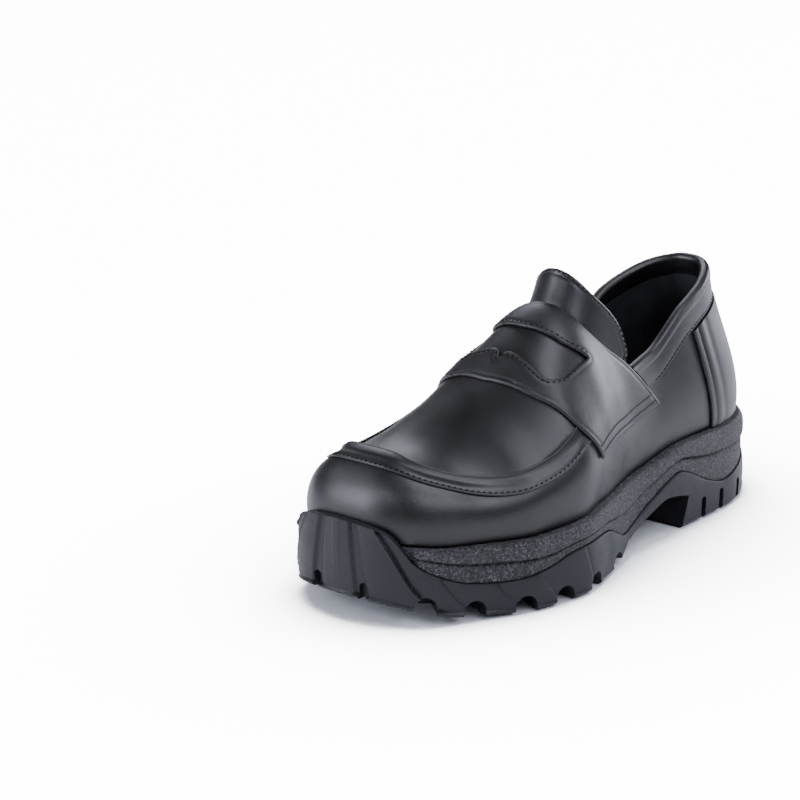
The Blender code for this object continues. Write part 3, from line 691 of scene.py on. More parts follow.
def grain_group():
    """Fine creased grain: cells with soft walls, broken up by noise. Height is for a bump."""
    inputs = (("Cells Per Metre", 1400.0), ("Pores", 0.5))
    group, entry, leave = new_group("hide_grain", inputs, ("Height",))
    place = scaled_place(group, entry.outputs["Cells Per Metre"])
    cells = add_node(group, "ShaderNodeTexVoronoi", feature="DISTANCE_TO_EDGE", randomness=1.0)
    noise = add_node(group, "ShaderNodeTexNoise", scale=1.7, detail=3.0)
    group.links.new(place, cells.inputs["Vector"])
    group.links.new(place, noise.inputs["Vector"])
    walls = math_node(group, "POWER", cells.outputs["Distance"], 0.5)
    pores = math_node(group, "MULTIPLY", noise.outputs["Fac"], entry.outputs["Pores"])
    group.links.new(math_node(group, "ADD", walls, pores), leave.inputs["Height"])
    return group


def mottle_group():
    """Broad uneven patches, as of polish and handling. Value swings about one half."""
    group, entry, leave = new_group("mottle", (("Patches Per Metre", 60.0),), ("Value",))
    place = scaled_place(group, entry.outputs["Patches Per Metre"])
    noise = add_node(group, "ShaderNodeTexNoise", scale=1.0, detail=2.0, roughness=0.45)
    group.links.new(place, noise.inputs["Vector"])
    group.links.new(noise.outputs["Fac"], leave.inputs["Value"])
    return group


HIDE_GRAIN = grain_group()
MOTTLE = mottle_group()
print("shader groups", HIDE_GRAIN.name, MOTTLE.name)

# %% Material tools
SWING = (0.3, 0.7)


def place_group(tree, group, **values):
    node = tree.nodes.new("ShaderNodeGroup")
    node.node_tree = group
    for key, value in values.items():
        node.inputs[key.replace("_", " ").title()].default_value = value
    return node


def new_material(name, roughness, specular=0.5):
    material = bpy.data.materials.new(name)
    material.use_nodes = True
    shader = material.node_tree.nodes["Principled BSDF"]
    shader.inputs["Roughness"].default_value = roughness
    shader.inputs["Specular IOR Level"].default_value = specular
    return material, material.node_tree, shader


def two_colours(tree, value, dark, light, target):
    """From dark to light over a value that swings about one half."""
    least, most = SWING
    colour_ramp(tree, value, ((least, dark), (most, light)), target)


def colour_ramp(tree, factor, stops, target):
    """Colours along a value. stops are (position, colour) pairs."""
    ramp = tree.nodes.new("ShaderNodeValToRGB")
    for element, (position, colour) in zip(ramp.color_ramp.elements, stops):
        element.position, element.color = position, (*colour, 1)
    for position, colour in stops[2:]:
        ramp.color_ramp.elements.new(position).color = (*colour, 1)
    tree.links.new(factor, ramp.inputs["Fac"])
    tree.links.new(ramp.outputs["Color"], target)


def range_to(tree, value, low, high, target):
    """A value that swings about one half, spread over a range."""
    least, most = SWING
    node = add_node(tree, "ShaderNodeMapRange", from_min=least, from_max=most, to_min=low, to_max=high)
    tree.links.new(value, node.inputs["Value"])
    tree.links.new(node.outputs["Result"], target)


def bump_chain(tree, shader, layers):
    """Bumps one over another. layers are (height, distance in metres, strength)."""
    normal = None
    for height, distance, strength in layers:
        bump = add_node(tree, "ShaderNodeBump", distance=distance, strength=strength)
        tree.links.new(height, bump.inputs["Height"])
        if normal:
            tree.links.new(normal, bump.inputs["Normal"])
        normal = bump.outputs["Normal"]
    tree.links.new(normal, shader.inputs["Normal"])


# %% [markdown]
# ## Leathers and threads
# Box leather is dyed through, polished and thinly coated. Its broad highlights break up where it was handled,
# so both its colour and its shine follow the same patches. The strap is a little duller, and the lining has
# no coat.

# %% Leathers
BLACK_HIDE = ((0.0024, 0.0022, 0.0030), (0.0060, 0.0057, 0.0075))
LINING_HIDE = ((0.010, 0.010, 0.013), (0.020, 0.020, 0.026))
COAT_ROUGHNESS = 0.28
WAVE_DEPTH, WAVE_STRENGTH = 1.2 * MM, 0.5
GRAIN_STRENGTH = 0.35


def leather(name, dye, smooth, rough, cells, depth, coat):
    """Polished hide: satin patches over fine grain, with a thin coat. dye is a dark and a light colour."""
    material, tree, shader = new_material(name, rough)
    grain = place_group(tree, HIDE_GRAIN, cells_per_metre=cells, pores=0.6)
    patches = place_group(tree, MOTTLE, patches_per_metre=45.0)
    waves = place_group(tree, MOTTLE, patches_per_metre=18.0)
    two_colours(tree, patches.outputs["Value"], *dye, shader.inputs["Base Color"])
    range_to(tree, patches.outputs["Value"], smooth, rough, shader.inputs["Roughness"])
    shader.inputs["Coat Weight"].default_value = coat
    shader.inputs["Coat Roughness"].default_value = COAT_ROUGHNESS
    broad = (waves.outputs["Value"], WAVE_DEPTH, WAVE_STRENGTH)
    fine = (grain.outputs["Height"], depth, GRAIN_STRENGTH)
    bump_chain(tree, shader, (broad, fine))
    return material


smooth_leather = leather(
    "smooth_leather_black", BLACK_HIDE, smooth=0.33, rough=0.44, cells=1500.0, depth=0.05 * MM, coat=0.12
)
strap_leather = leather(
    "strap_leather_black", BLACK_HIDE, smooth=0.38, rough=0.48, cells=1300.0, depth=0.06 * MM, coat=0.10
)
lining_leather = leather(
    "lining_leather_black", LINING_HIDE, smooth=0.50, rough=0.65, cells=900.0, depth=0.12 * MM, coat=0.0
)
print("leathers", smooth_leather.name, strap_leather.name, lining_leather.name)


# %% Threads
def thread(name, dark, light):
    """Twisted waxed thread, with pale fibres."""
    material, tree, shader = new_material(name, 0.7, specular=0.2)
    strands = place_group(tree, MOTTLE, patches_per_metre=2600.0)
    two_colours(tree, strands.outputs["Value"], dark, light, shader.inputs["Base Color"])
    bump_chain(tree, shader, ((strands.outputs["Value"], 0.1 * MM, 0.5),))
    return material


thread_black = thread("thread_black", (0.002, 0.002, 0.003), (0.006, 0.006, 0.007))
thread_grey = thread("thread_grey", (0.010, 0.010, 0.011), (0.14, 0.14, 0.15))
print("threads", thread_black.name, thread_grey.name)

# %% [markdown]
# ## Rubbers
# The outsole's rubber comes smooth and dull out of its mould. The midsole's mould is pitted, so it is covered
# with round pebbles, and their tops are painted grey: partly the rubber's speckle, partly a painted highlight
# where the tops catch the light. Cells with a soft wall between them make such pebbles.

# %% Rubbers
RUBBER_DARK = (0.008, 0.0075, 0.0105)
RUBBER_LIGHT = (0.012, 0.0115, 0.016)
PEBBLES_PER_METRE = 900.0
PEBBLE_DEPTH = 0.6 * MM
# Colours over pebble height times speckle: the light grey on the pebble tops is partly a painted highlight.
PEBBLE_SPECK_AND_HIGHLIGHT_STOPS = (
    (0.20, (0.004, 0.004, 0.005)),
    (0.44, (0.36, 0.36, 0.39)),
    (0.31, (0.038, 0.038, 0.044)),
)


def smooth_rubber():
    """Moulded rubber: dull, slightly blue, with faint flow marks and fine pores."""
    material, tree, shader = new_material("smooth_rubber_grey", 0.5, specular=0.35)
    patches = place_group(tree, MOTTLE, patches_per_metre=70.0)
    fine = place_group(tree, HIDE_GRAIN, cells_per_metre=2200.0, pores=0.9)
    two_colours(tree, patches.outputs["Value"], RUBBER_DARK, RUBBER_LIGHT, shader.inputs["Base Color"])
    range_to(tree, patches.outputs["Value"], 0.38, 0.50, shader.inputs["Roughness"])
    flow = (patches.outputs["Value"], 0.25 * MM, 0.4)
    pores = (fine.outputs["Height"], 0.04 * MM, 0.4)
    bump_chain(tree, shader, (flow, pores))
    return material


def pebbled_rubber():
    """The midsole's moulded grain: round pebbles with grey painted on their tops, partly speckle, partly a
    painted highlight.
    """
    material, tree, shader = new_material("pebbled_rubber_grey", 0.6)
    place = scaled_place(tree, PEBBLES_PER_METRE)
    pebbles = add_node(tree, "ShaderNodeTexVoronoi", feature="SMOOTH_F1", smoothness=0.35)
    speckle = add_node(tree, "ShaderNodeTexNoise", scale=0.9, detail=4.0, roughness=0.7)
    tree.links.new(place, pebbles.inputs["Vector"])
    tree.links.new(place, speckle.inputs["Vector"])
    height = math_node(tree, "SUBTRACT", 1.0, pebbles.outputs["Distance"])
    # Pebble tops where the speckle is high are painted grey: partly speckle, partly a painted highlight.
    speck_and_top_highlight = math_node(tree, "MULTIPLY", height, speckle.outputs["Fac"])
    colour_ramp(tree, speck_and_top_highlight, PEBBLE_SPECK_AND_HIGHLIGHT_STOPS, shader.inputs["Base Color"])
    range_to(tree, speckle.outputs["Fac"], 0.45, 0.70, shader.inputs["Roughness"])
    bump_chain(tree, shader, ((height, PEBBLE_DEPTH, 1.0),))
    return material


outsole_rubber = smooth_rubber()
midsole_rubber = pebbled_rubber()
print("rubbers", outsole_rubber.name, midsole_rubber.name)

# %% [markdown]
# ## The outsole
# The real one is moulded in one shot: a smooth wall with slanted ribs, a bumper over the toe, a waist and a
# heel block, with arched notches between the lugs. Ribs could be sculpted or displaced. Here the wall is a
# fine ring of points that is pushed in along each rib, so their places stay named values.

# %% Ribs in the outsole's wall
Rib = namedtuple("Rib", "top low depth step")
RIBS = (
    Rib(1.022, 1.045, 1.2, 1.3),
    Rib(0.985, 0.976, 1.4, 1.4),
    Rib(0.944, 0.818, -0.5, 2.0),
    Rib(0.825, 0.765, 0.8, 0.6),
    Rib(0.735, 0.703, 0.8, 0.6),
    Rib(0.680, 0.646, 0.7, 0.5),
    Rib(0.606, 0.586, 0.6, 0.4),
)
RIB_WIDTH = 0.75
STEP_WIDTH = 1.2
STEP_FADE = 9.0
RIB_FOOT = 0.06


def metres_per_turn(turn):
    step = 0.002
    return np.linalg.norm(outline(turn + step) - outline(turn - step), axis=-1) / (2 * step)


def rib_depth(turn, share):
    """How far the wall is pushed in: a fine groove, with the panel on its heel side set back like a scale."""
    depth = 0 * turn
    for rib in RIBS:
        for top, low, toeward in ((rib.top, rib.low, 1), (2 - rib.top, 2 - rib.low, -1)):
            away = toeward * (turn % 2 - mix(low, top, share)) * metres_per_turn(turn) / MM
            groove = rib.depth * np.exp(-((away / RIB_WIDTH) ** 2))
            behind = smooth_step(0.0, -STEP_WIDTH, away) * np.exp(np.minimum(away, 0) / STEP_FADE)
            depth = depth + (groove + rib.step * behind) * MM
    return depth * smooth_step(0.0, RIB_FOOT, share)


print(len(RIBS), "ribs on each side")

# %% Outsole ring
LEVELS_UP = 40
TREAD_LAP = 8 * MM
WALL_BELLY = 0.5 * MM
RIM_CORNER_DROP = 0.8 * MM
RIM_CORNER = ((-0.75, -0.25), (-1.5, 0.0))
RIM_SLOPE = 0.1 * MM


def outsole_wall(turn):
    """Rings of the outsole's wall from the tread up to its rim, as offset and height for each level."""
    station = station_of(turn)
    low, top = bottom_height(station), side_height("edge", station)
    rings = [(-WALL_ROUNDING - TREAD_LAP + 0 * turn, low)]
    for angle in np.linspace(0, math.pi / 2, 6)[:-1]:
        inward = WALL_ROUNDING * (1 - math.sin(angle))
        rings.append((-inward, low + WALL_ROUNDING * (1 - math.cos(angle))))
    for share in np.linspace(0, 1, LEVELS_UP):
        height = mix(low + WALL_ROUNDING, top - RIM_CORNER_DROP, share)
        belly = -WALL_BELLY * (2 * share - 1) ** 2
        rings.append((belly - rib_depth(turn, (height - low) / (top - low)), height))
    for out, up in RIM_CORNER:
        rings.append((out * MM + 0 * turn, top + up * MM))
    rings.append((-RIM_WALL + 0 * turn, top))
    rings.append((-RIM_WALL - RIM_SLOPE + 0 * turn, recess_floor(station)))
    return rings


def cap(start, count):
    """Quads across a ring, from its outer side to its inner side."""
    faces = []
    half = count // 2
    for k in range(half):
        corners = (k, k + 1, (count - k - 1) % count, (count - k) % count)
        faces.append(tuple(start + c for c in dict.fromkeys(corners)))
    return faces


def ring_mesh(rings, turns):
    points = np.concatenate([at(turns, offset, height) for offset, height in rings])
    count = len(turns)
    faces = grid_faces(len(rings), count, wrap=True)
    return points, faces + cap(0, count) + cap((len(rings) - 1) * count, count)


FINE_STEP, COARSE_STEP = 0.6 * MM, 1.6 * MM
FINE_FROM = 0.56


def even_turns():
    """Turns round the sole at even steps, fine along the ribs of its front half and coarse behind."""
    turns = np.linspace(0, 1, 4001)
    lengths = metres_per_turn(turns) / np.where(turns > FINE_FROM, FINE_STEP, COARSE_STEP)
    steps = np.concatenate(([0], np.cumsum((lengths[1:] + lengths[:-1]) / 2) * (turns[1] - turns[0])))
    half = np.interp(np.linspace(0, steps[-1], int(steps[-1]) + 1), steps, turns)
    return np.concatenate((half, 2 - half[-2:0:-1]))


ring_turns = even_turns()
outsole_points, outsole_faces = ring_mesh(outsole_wall(ring_turns), ring_turns)
print("outsole ring", outsole_points.shape)

# %% [markdown]
# ## The tread
# In the mould, steel blocks leave the notches, the two channels and the gap under the waist. Here each block
# is a closed mesh in one collection, and a single exact Boolean cuts them all, which keeps the edges crisp.
# The blocks are deleted once the cut is applied.

# %% Notches, channels and the waist
NOTCH_STEPS = 13
WAIST_STEPS = 25
CHANNEL_STEPS = 17
CHANNEL_FRONT = 0.86
CHANNEL_BACK_GAP = 0.01


def cutter_mesh(name, points, faces, group):
    mesh = bpy.data.meshes.new(name)
    mesh.from_pydata([tuple(p) for p in points], [], faces)
    face_outwards(mesh)
    new_object(name, mesh, group)


def prism(name, profile, sweep, group):
    profile = np.array(profile)
    count = len(profile)
    faces = [tuple(range(count)), tuple(range(2 * count - 1, count - 1, -1))]
    faces += [(k, (k + 1) % count, count + (k + 1) % count, count + k) for k in range(count)]
    cutter_mesh(name, np.concatenate((profile, profile + sweep)), faces, group)


def notch(name, turn, width, depth, reach, group):
    """An arched notch between two lugs, run in from the sole's side."""
    inward = -outward(np.array(turn))
    sideways = np.array((-inward[1], inward[0], 0))
    start = at(turn, width, bottom_height(station_of(turn)))
    up = np.array((0, 0, 1.0))
    half = width / 2
    angles = np.linspace(0, math.pi, NOTCH_STEPS)
    arch = [start + sideways * half * math.cos(a) + up * (depth - half * (1 - math.sin(a))) for a in angles]
    profile = [start + sideways * half - up * depth, *arch, start - sideways * half - up * depth]
    prism(name, profile, inward * (reach + width), group)


def tread_cutters(group):
    below = np.array((0, 0, -NOTCH_DEPTH))
    stations = np.linspace(WAIST_FRONT - WAIST_FRONT_SLANT, WAIST_BACK + WAIST_BACK_SLANT, WAIST_STEPS)
    roof = [np.array((-BALL_WIDTH, y_of(s), side_height("waist", s))) for s in stations]
    front = np.array((-BALL_WIDTH, y_of(WAIST_FRONT), 0))
    back = np.array((-BALL_WIDTH, y_of(WAIST_BACK), 0))
    profile = [front + below, front, *roof, back, back + below]
    prism("waist_gap", profile, np.array((2 * BALL_WIDTH, 0, 0)), group)
    notches = [(turn, NOTCH_WIDTH, NOTCH_DEPTH, NOTCH_REACH) for turn in NOTCH_TURNS]
    notches += [(turn, TOE_NOTCH_WIDTH, NOTCH_DEPTH, TOE_NOTCH_WIDTH) for turn in TOE_NOTCH_TURNS]
    notches += [(turn, HEEL_SLOT_WIDTH, HEEL_SLOT_DEPTH, NOTCH_REACH / 2) for turn in HEEL_SLOT_TURNS]
    for k, (turn, *sizes) in enumerate(notches):
        notch(f"notch_outer_{k}", turn, *sizes, group)
        notch(f"notch_inner_{k}", 2 - turn, *sizes, group)
    for side, word in ((1, "outer"), (-1, "inner")):
        inset, half = NOTCH_REACH - TREAD_CHANNEL / 2, TREAD_CHANNEL / 2
        stations = np.linspace(WAIST_FRONT - CHANNEL_BACK_GAP, CHANNEL_FRONT, CHANNEL_STEPS)
        turns = turn_of(stations, side)
        floor = bottom_height(stations)
        lines = []
        for edge, high in ((-1, -NOTCH_DEPTH), (1, -NOTCH_DEPTH), (1, TREAD_DEPTH), (-1, TREAD_DEPTH)):
            lines.append(at(turns, -inset + edge * half, floor + high))
        points = np.stack(lines, 1).reshape(-1, 3)
        faces = grid_faces(len(stations), 4, wrap=True)
        faces += [(0, 1, 2, 3), tuple(len(points) - 4 + k for k in (3, 2, 1, 0))]
        cutter_mesh(f"channel_{word}", points, faces, group)


OUTSOLE_ANGLE = 34
tread_group = bpy.data.collections.new("tread_cutters")
bpy.context.scene.collection.children.link(tread_group)
tread_cutters(tread_group)
outsole = add_piece(
    "outsole_rubber", outsole_points, outsole_faces, outsole_rubber, "outsole", OUTSOLE_ANGLE
)
cut = outsole.modifiers.new("tread", "BOOLEAN")
cut.operation, cut.operand_type, cut.collection, cut.solver = "DIFFERENCE", "COLLECTION", tread_group, "EXACT"


def apply_modifiers(piece, angle=None):
    """The piece keeps the mesh that its modifiers make."""
    shape = piece.evaluated_get(bpy.context.evaluated_depsgraph_get())
    made = bpy.data.meshes.new_from_object(shape)
    piece.modifiers.clear()
    piece.data = made
    if angle:
        made.shade_smooth()
        made.set_sharp_from_angle(angle=math.radians(angle))
    print(piece.name, len(made.polygons), "faces")


apply_modifiers(outsole, OUTSOLE_ANGLE)
for cutter in list(tread_group.objects):
    bpy.data.objects.remove(cutter)
bpy.data.collections.remove(tread_group)

# %% [markdown]
# ## The midsole
# Its two bands are grained rubber with a groove between them. The upper band is a rounded shelf that the
# leather stands on, and the lower one drops straight to the outsole. Both are rings of one mesh.

# %% Midsole
SHOWN_FROM, SHOWN_TO = 1.2 * RIM_WALL, 2.2 * RIM_WALL
GROOVE_LOWEST, GROOVE_HIGHEST = 0.3, 0.8
LOWER_BAND = (0.0, 0.03, 0.1, 0.3, 0.5, 0.7)
LOWER_FOOT, LOWER_SWELL = 0.1, 0.25
UPPER_BAND = (0.03, 0.07, 0.12, 0.2, 0.32, 0.46, 0.6, 0.72, 0.82, 0.9, 0.96, 1.0)
ROUND_OVER_FROM, ROUND_UNDER_TO = 0.5, 0.16


def midsole_rings(turn):
    station = station_of(turn)
    tucked = -RIM_WALL - GAP
    top = feather_height(station)
    edge = side_height("edge", station)
    low = np.minimum(edge + GAP, top - 3 * GAP)
    shown = smooth_step(SHOWN_FROM, SHOWN_TO, top - edge)
    groove = (side_height("groove", station) - edge) / np.maximum(top - edge, GAP)
    groove = np.clip(groove, GROOVE_LOWEST, GROOVE_HIGHEST)

    def ring(share, offset):
        return mix(tucked, offset, shown), mix(low, top, share)

    rings = [(tucked + 0 * turn, recess_floor(station) + GAP), ring(0, tucked)]
    for share in LOWER_BAND:
        foot = math.cos(math.pi * min(1, share / LOWER_FOOT)) * (share < LOWER_FOOT)
        rings.append(ring(groove * share, -(MIDSOLE_STEP * (1.0 + LOWER_SWELL * foot))))
    depth = MIDSOLE_STEP + MIDSOLE_GROOVE
    step = MIDSOLE_STEP
    for share, inset in ((0.86, step * 1.05), (0.92, step * 1.5), (0.97, depth * 0.85), (1.0, depth)):
        rings.append(ring(groove * share, -inset))
    for share in UPPER_BAND:
        round_over = MIDSOLE_STEP * 2 * max(0.0, (share - ROUND_OVER_FROM) / (1 - ROUND_OVER_FROM)) ** 2.2
        round_under = MIDSOLE_STEP * 2 * max(0.0, 1 - share / ROUND_UNDER_TO) ** 2
        rings.append(ring(mix(groove, 1, share), -round_over - round_under))
    rings.append((mix(tucked, -LEDGE, shown), top))
    return rings


midsole_points, midsole_faces = ring_mesh(midsole_rings(ring_turns), ring_turns)
add_piece(
    "midsole_pebbled", midsole_points, midsole_faces, midsole_rubber, "midsole", angle=50
)

# %% [markdown]
# ## The vamp, the quarters and the apron
# In the real shoe the leather is pulled over the last while it is damp, so no part of it is flat or sharp. It
# could be sculpted. Here the wall and the apron come from the curves above, so that all the other pieces can
# lie on them, with a few listed creases where the foot bends.

# %% Creases
Crease = namedtuple("Crease", "station place side_station side_place depth width")
CREASES = (
    Crease(0.395, 1.58, 0.450, 1.80, 0.30, 6.0),
    Crease(0.350, 1.50, 0.385, 1.84, 0.25, 6.5),
    Crease(0.700, 1.30, 0.650, 1.70, 0.20, 8.0),
    Crease(0.845, 1.25, 0.800, 1.72, 0.18, 9.0),
)


CREASE_STEPS = 24
RIDGE_HEIGHT, RIDGE_AWAY = 0.4, 1.7


def crease_depth(points):
    """Soft troughs along short lines on both sides of the shoe, each with a low ridge beside it."""
    depth = np.zeros(points.shape[:-1])
    for crease in CREASES:
        for side in (1, -1):
            shares = np.linspace(0, 1, CREASE_STEPS)
            stations = mix(crease.station, crease.side_station, shares)
            places = side * mix(crease.place, crease.side_place, shares)
            line = upper_point(stations, places)
            away = distance_to(points, line) / MM
            near = np.exp(-((away / crease.width) ** 2))
            ridge = np.exp(-(((away - RIDGE_AWAY * crease.width) / crease.width) ** 2))
            depth += crease.depth * MM * (near - RIDGE_HEIGHT * ridge)
    return depth


print(len(CREASES), "creases on each side")


# %% Vamp and quarters
COLLAR_TURNS, APRON_TURNS = 90, 72
WALL_LEVELS = 34
throat_turn = turn_of(THROAT, 1)
behind_throat = np.linspace(0, throat_turn, COLLAR_TURNS)[:-1]
wall_turns = np.concatenate((behind_throat, np.linspace(throat_turn, 1, APRON_TURNS)))
wall_turns = np.concatenate((wall_turns, 2 - wall_turns[-2:0:-1]))
wall_shares = np.linspace(0, 1, WALL_LEVELS)
wall = wall_point(wall_turns[None, :], wall_shares[:, None])
wall = wall - wall_normal(wall_turns[None, :], wall_shares[:, None]) * crease_depth(wall)[..., None]
count = len(wall_turns)
upper_points = [wall.reshape(-1, 3)]
upper_faces = grid_faces(WALL_LEVELS, count, wrap=True)

APRON_COLUMNS = 40
half = count // 2
front_columns = [k for k in range(half + 1) if station_of(wall_turns[k]) >= THROAT - GAP]
acrosses = np.linspace(1, -1, APRON_COLUMNS + 1)
edge_start = (WALL_LEVELS - 1) * count
total = WALL_LEVELS * count
rows = []
for k in front_columns:
    if k == half:
        rows.append([edge_start + k])
        continue
    inner = apron_point(station_of(wall_turns[k]), acrosses[1:-1])
    upper_points.append(inner)
    rows.append([edge_start + k, *range(total, total + len(inner)), edge_start + (count - k) % count])
    total += len(inner)
for a, b in zip(rows, rows[1:]):
    for c in range(APRON_COLUMNS):
        if len(b) == 1:
            upper_faces.append((a[c], a[c + 1], b[0]))
        else:
            upper_faces.append((a[c], a[c + 1], b[c + 1], b[c]))
upper_points = np.concatenate(upper_points)
upper = add_piece("vamp_and_quarters", upper_points, upper_faces, smooth_leather, "upper")
skin = upper.modifiers.new("leather thickness", "SOLIDIFY")
skin.thickness, skin.offset, skin.use_even_offset = UPPER_WALL, -1, True
apply_modifiers(upper)

# %% [markdown]
# ## The edge of the apron
# The apron is a separate plug of leather. Its rim is folded into a thin standing edge, and a flap of it laps
# down over the vamp to a row of stitches. It is one strip, swept round the toe with that section.

# %% Apron edge
FLAP = 8.5 * MM
Profile = namedtuple("Profile", "drop stand")
FLAP_PROFILE = (
    Profile(1.00, 0.05),
    Profile(1.00, 0.40),
    Profile(0.975, 0.70),
    Profile(0.935, 0.85),
    Profile(0.89, 0.75),
    Profile(0.85, 0.45),
    Profile(0.78, 0.42),
    Profile(0.68, 0.65),
    Profile(0.55, 0.65),
    Profile(0.40, 0.50),
    Profile(0.28, 0.45),
    Profile(0.18, 0.55),
    Profile(0.09, 0.85),
)
CREST_STAND = 1.9 * MM
CREST_RADIUS = 0.8 * MM
CREST_OUT = 0.45 * MM
CREST_LEAN = 0.8
CREST_TURN = 1.1 * math.pi
STRAP_MARGIN = 1.2 * MM
STRIP_STEPS = 421
STRIP_EASING = 30
APRON_LENGTH = 230
PUCKER_HEIGHT, PUCKER_WAVE, PUCKER_BEAT = 0.03, 1.7, 0.23
Landing = namedtuple("Landing", "reach height")
LANDINGS = (
    Landing(1.3, 0.7),
    Landing(1.7, 0.12),
    Landing(2.4, 0.1),
    Landing(3.6, -0.5),
)
apron_skin = BVHTree.FromObject(upper, bpy.context.evaluated_depsgraph_get())


def strap_front_turn(place, along, margin):
    """A turn along the apron's edge, from the strap on the outer side to the strap on the inner side."""
    start = turn_of(blend_at(STRAPS, "front", place) + margin / SOLE_LENGTH, 1)
    return mix(start, 2 - start, along)


def ground_height(places):
    """The upper's height under each place."""
    heights = []
    for x, y in places[:, :2]:
        hit = apron_skin.ray_cast(Vector((x, y, 1)), Vector((0, 0, -1)))[0]
        heights.append(hit.z)
    return np.array(heights)


def apron_edge_section(along):
    """Points of the strip's section, one array per point, up the flap, over the crest and onto the apron."""
    section = []
    walked = along * APRON_LENGTH
    pucker = PUCKER_HEIGHT * np.sin(walked * PUCKER_WAVE) * (1 + np.sin(walked * PUCKER_BEAT))
    for row in FLAP_PROFILE:
        turn, share = below_edge(lambda place: strap_front_turn(place, along, STRAP_MARGIN), FLAP * row.drop)
        stand = GAP + (row.stand + pucker * (0.3 < row.drop < 0.8)) * MM
        section.append(wall_point(turn, share) + wall_normal(turn, share) * stand[..., None])
    turn = strap_front_turn(1, along, STRAP_MARGIN)
    normal = wall_normal(turn, 1.0 + 0 * turn)
    inward = -outward(turn)
    top = edge_point(turn) + normal * CREST_OUT
    top[..., 2] += CREST_STAND
    for angle in np.linspace(0.0, CREST_TURN, 8):
        lean = inward * (CREST_RADIUS * (1 - math.cos(angle)) * CREST_LEAN)
        section.append(top + lean + np.array((0, 0, 1.0)) * (CREST_RADIUS * math.sin(angle)))
    for landing in LANDINGS:
        place = at(turn, -edge_inset(turn) - landing.reach * MM, 0 * turn)
        place[..., 2] = ground_height(place) + landing.height * MM
        section.append(place)
    return section


along = np.linspace(0, 1, STRIP_STEPS)
section = smoothed(np.stack(apron_edge_section(along), 1), STRIP_EASING, 0)
swept_strip("apron_edge", section, smooth_leather, "apron_seam")

# %% Stitches under the apron's flap
SEAM_DROP = 0.80
SEAM_MARGIN = 3 * MM
SEAM_STAND = GAP + 0.36 * MM
seam_turns = strap_front_turn(1, along[4:-4], SEAM_MARGIN)
seam_share = share_below_edge(seam_turns, FLAP * SEAM_DROP)
seam_normals = wall_normal(seam_turns, seam_share)
seam_line = wall_point(seam_turns, seam_share) + seam_normals * SEAM_STAND
stitch_row("stitches_apron", seam_line, seam_normals, thread_black, slant=0.25)

# %% [markdown]
# ## The tongue
# The tongue is the free end of the instep's leather. It stands up behind the strap, a little curved back,
# with a stitch row close to its rim. A flat sheet could be bent by a modifier, but the tongue has to start
# from the same surface as the strap that crosses it, so it is raised from that surface.

# %% Tongue
def strap_stations(place):
    """The strap's front and back edge, with a soft turn over the middle line."""
    soft = np.sqrt(np.asarray(place) ** 2 + 0.01)
    return blend_at(STRAPS, "front", soft), blend_at(STRAPS, "back", soft)


def soft_upper_point(station, place):
    """The upper's outside, eased over its edge, as leather lies that is pulled across it."""
    shifts = ((-0.12, 1), (-0.06, 2), (0.0, 3), (0.06, 2), (0.12, 1))
    return sum(upper_point(station, place + shift) * weight for shift, weight in shifts) / 9


def tongue_tip(place):
    return strap_stations(place)[1] - blend_at(TIPS, "reach", abs(place)) * TONGUE_BACK / SOLE_LENGTH


def tongue_point(station, place):
    """The top of the tongue, which rises from the line of the instep to its free end."""
    behind = np.maximum(0, strap_stations(place)[1] - station) * SOLE_LENGTH
    point = soft_upper_point(station, place)
    point[..., 2] += TONGUE_RISE * (behind / TONGUE_BACK) ** 1.2 + 0.9 * MM * smooth_step(0, 1.5 * MM, behind)
    return point


def grid_normals(grid):
    """Normals of a grid of points, from its neighbours. Rows run across and columns along."""
    across = np.gradient(grid, axis=0)
    along = np.gradient(grid, axis=1)
    return unit(np.cross(along, across))


# %% Tongue sheet
TONGUE_ROWS, TONGUE_COLUMNS, HIDDEN_COLUMNS = 97, 30, 6
TONGUE_ROUNDING = 1.6 * MM
RIM_STEP = 0.3 * MM
places = TONGUE_SIDE * np.sin(np.pi / 2 * np.linspace(-1, 1, TONGUE_ROWS))
hidden = np.linspace(0, 1, HIDDEN_COLUMNS + 1)[:-1]
behind_strap = strap_stations(places)[1][:, None]
under_strap = mix(THROAT - 2 * GAP / SOLE_LENGTH, behind_strap, hidden)
standing = mix(behind_strap, tongue_tip(places)[:, None], bunched(TONGUE_COLUMNS, pull=0.6))
stations = np.concatenate((under_strap, standing), 1)
tongue_grid = smoothed(smoothed(tongue_point(stations, places[:, None]), 4, 1), 20, 0)
tongue_normals = grid_normals(tongue_grid)
if tongue_normals[TONGUE_ROWS // 2, HIDDEN_COLUMNS // 2, 2] < 0:
    tongue_normals = -tongue_normals
one_side, other_side = tongue_grid[0, HIDDEN_COLUMNS - 1:], tongue_grid[-1, HIDDEN_COLUMNS - 1:]
rim = np.concatenate((one_side, tongue_grid[:, -1], other_side[::-1]))
rim_gap = distance_to(tongue_grid, resample(rim, RIM_STEP))
rim_fall = 1 - rounded(rim_gap, TONGUE_ROUNDING)
tongue_high = -0.6 * MM * rim_fall - 0.35 * MM * trough(rim_gap / MM, 2.6, 0.5)
tongue_low = -TONGUE_THICKNESS + 0.7 * MM * rim_fall
sheet(
    "tongue_leather", tongue_grid, tongue_normals, tongue_low, tongue_high,
    smooth_leather, "tongue",
)

# %% Stitches round the tongue
ROWS_IN, COLUMNS_IN = 3, 5
SEAM_STEP = 0.5 * MM
TONGUE_SINK = 0.15 * MM
outer_run = tongue_grid[-1 - ROWS_IN, 7:-COLUMNS_IN]
inner_run = tongue_grid[ROWS_IN, 8:-COLUMNS_IN]
tip_run = tongue_grid[ROWS_IN:-ROWS_IN, -COLUMNS_IN]
line = resample(np.concatenate((inner_run, tip_run, outer_run[::-1])), SEAM_STEP)
nearest = [np.argmin(np.linalg.norm(tongue_grid.reshape(-1, 3) - p, axis=1)) for p in line]
line_normals = tongue_normals.reshape(-1, 3)[nearest]
stitch_row("stitches_tongue", line - line_normals * TONGUE_SINK, line_normals, thread_black)

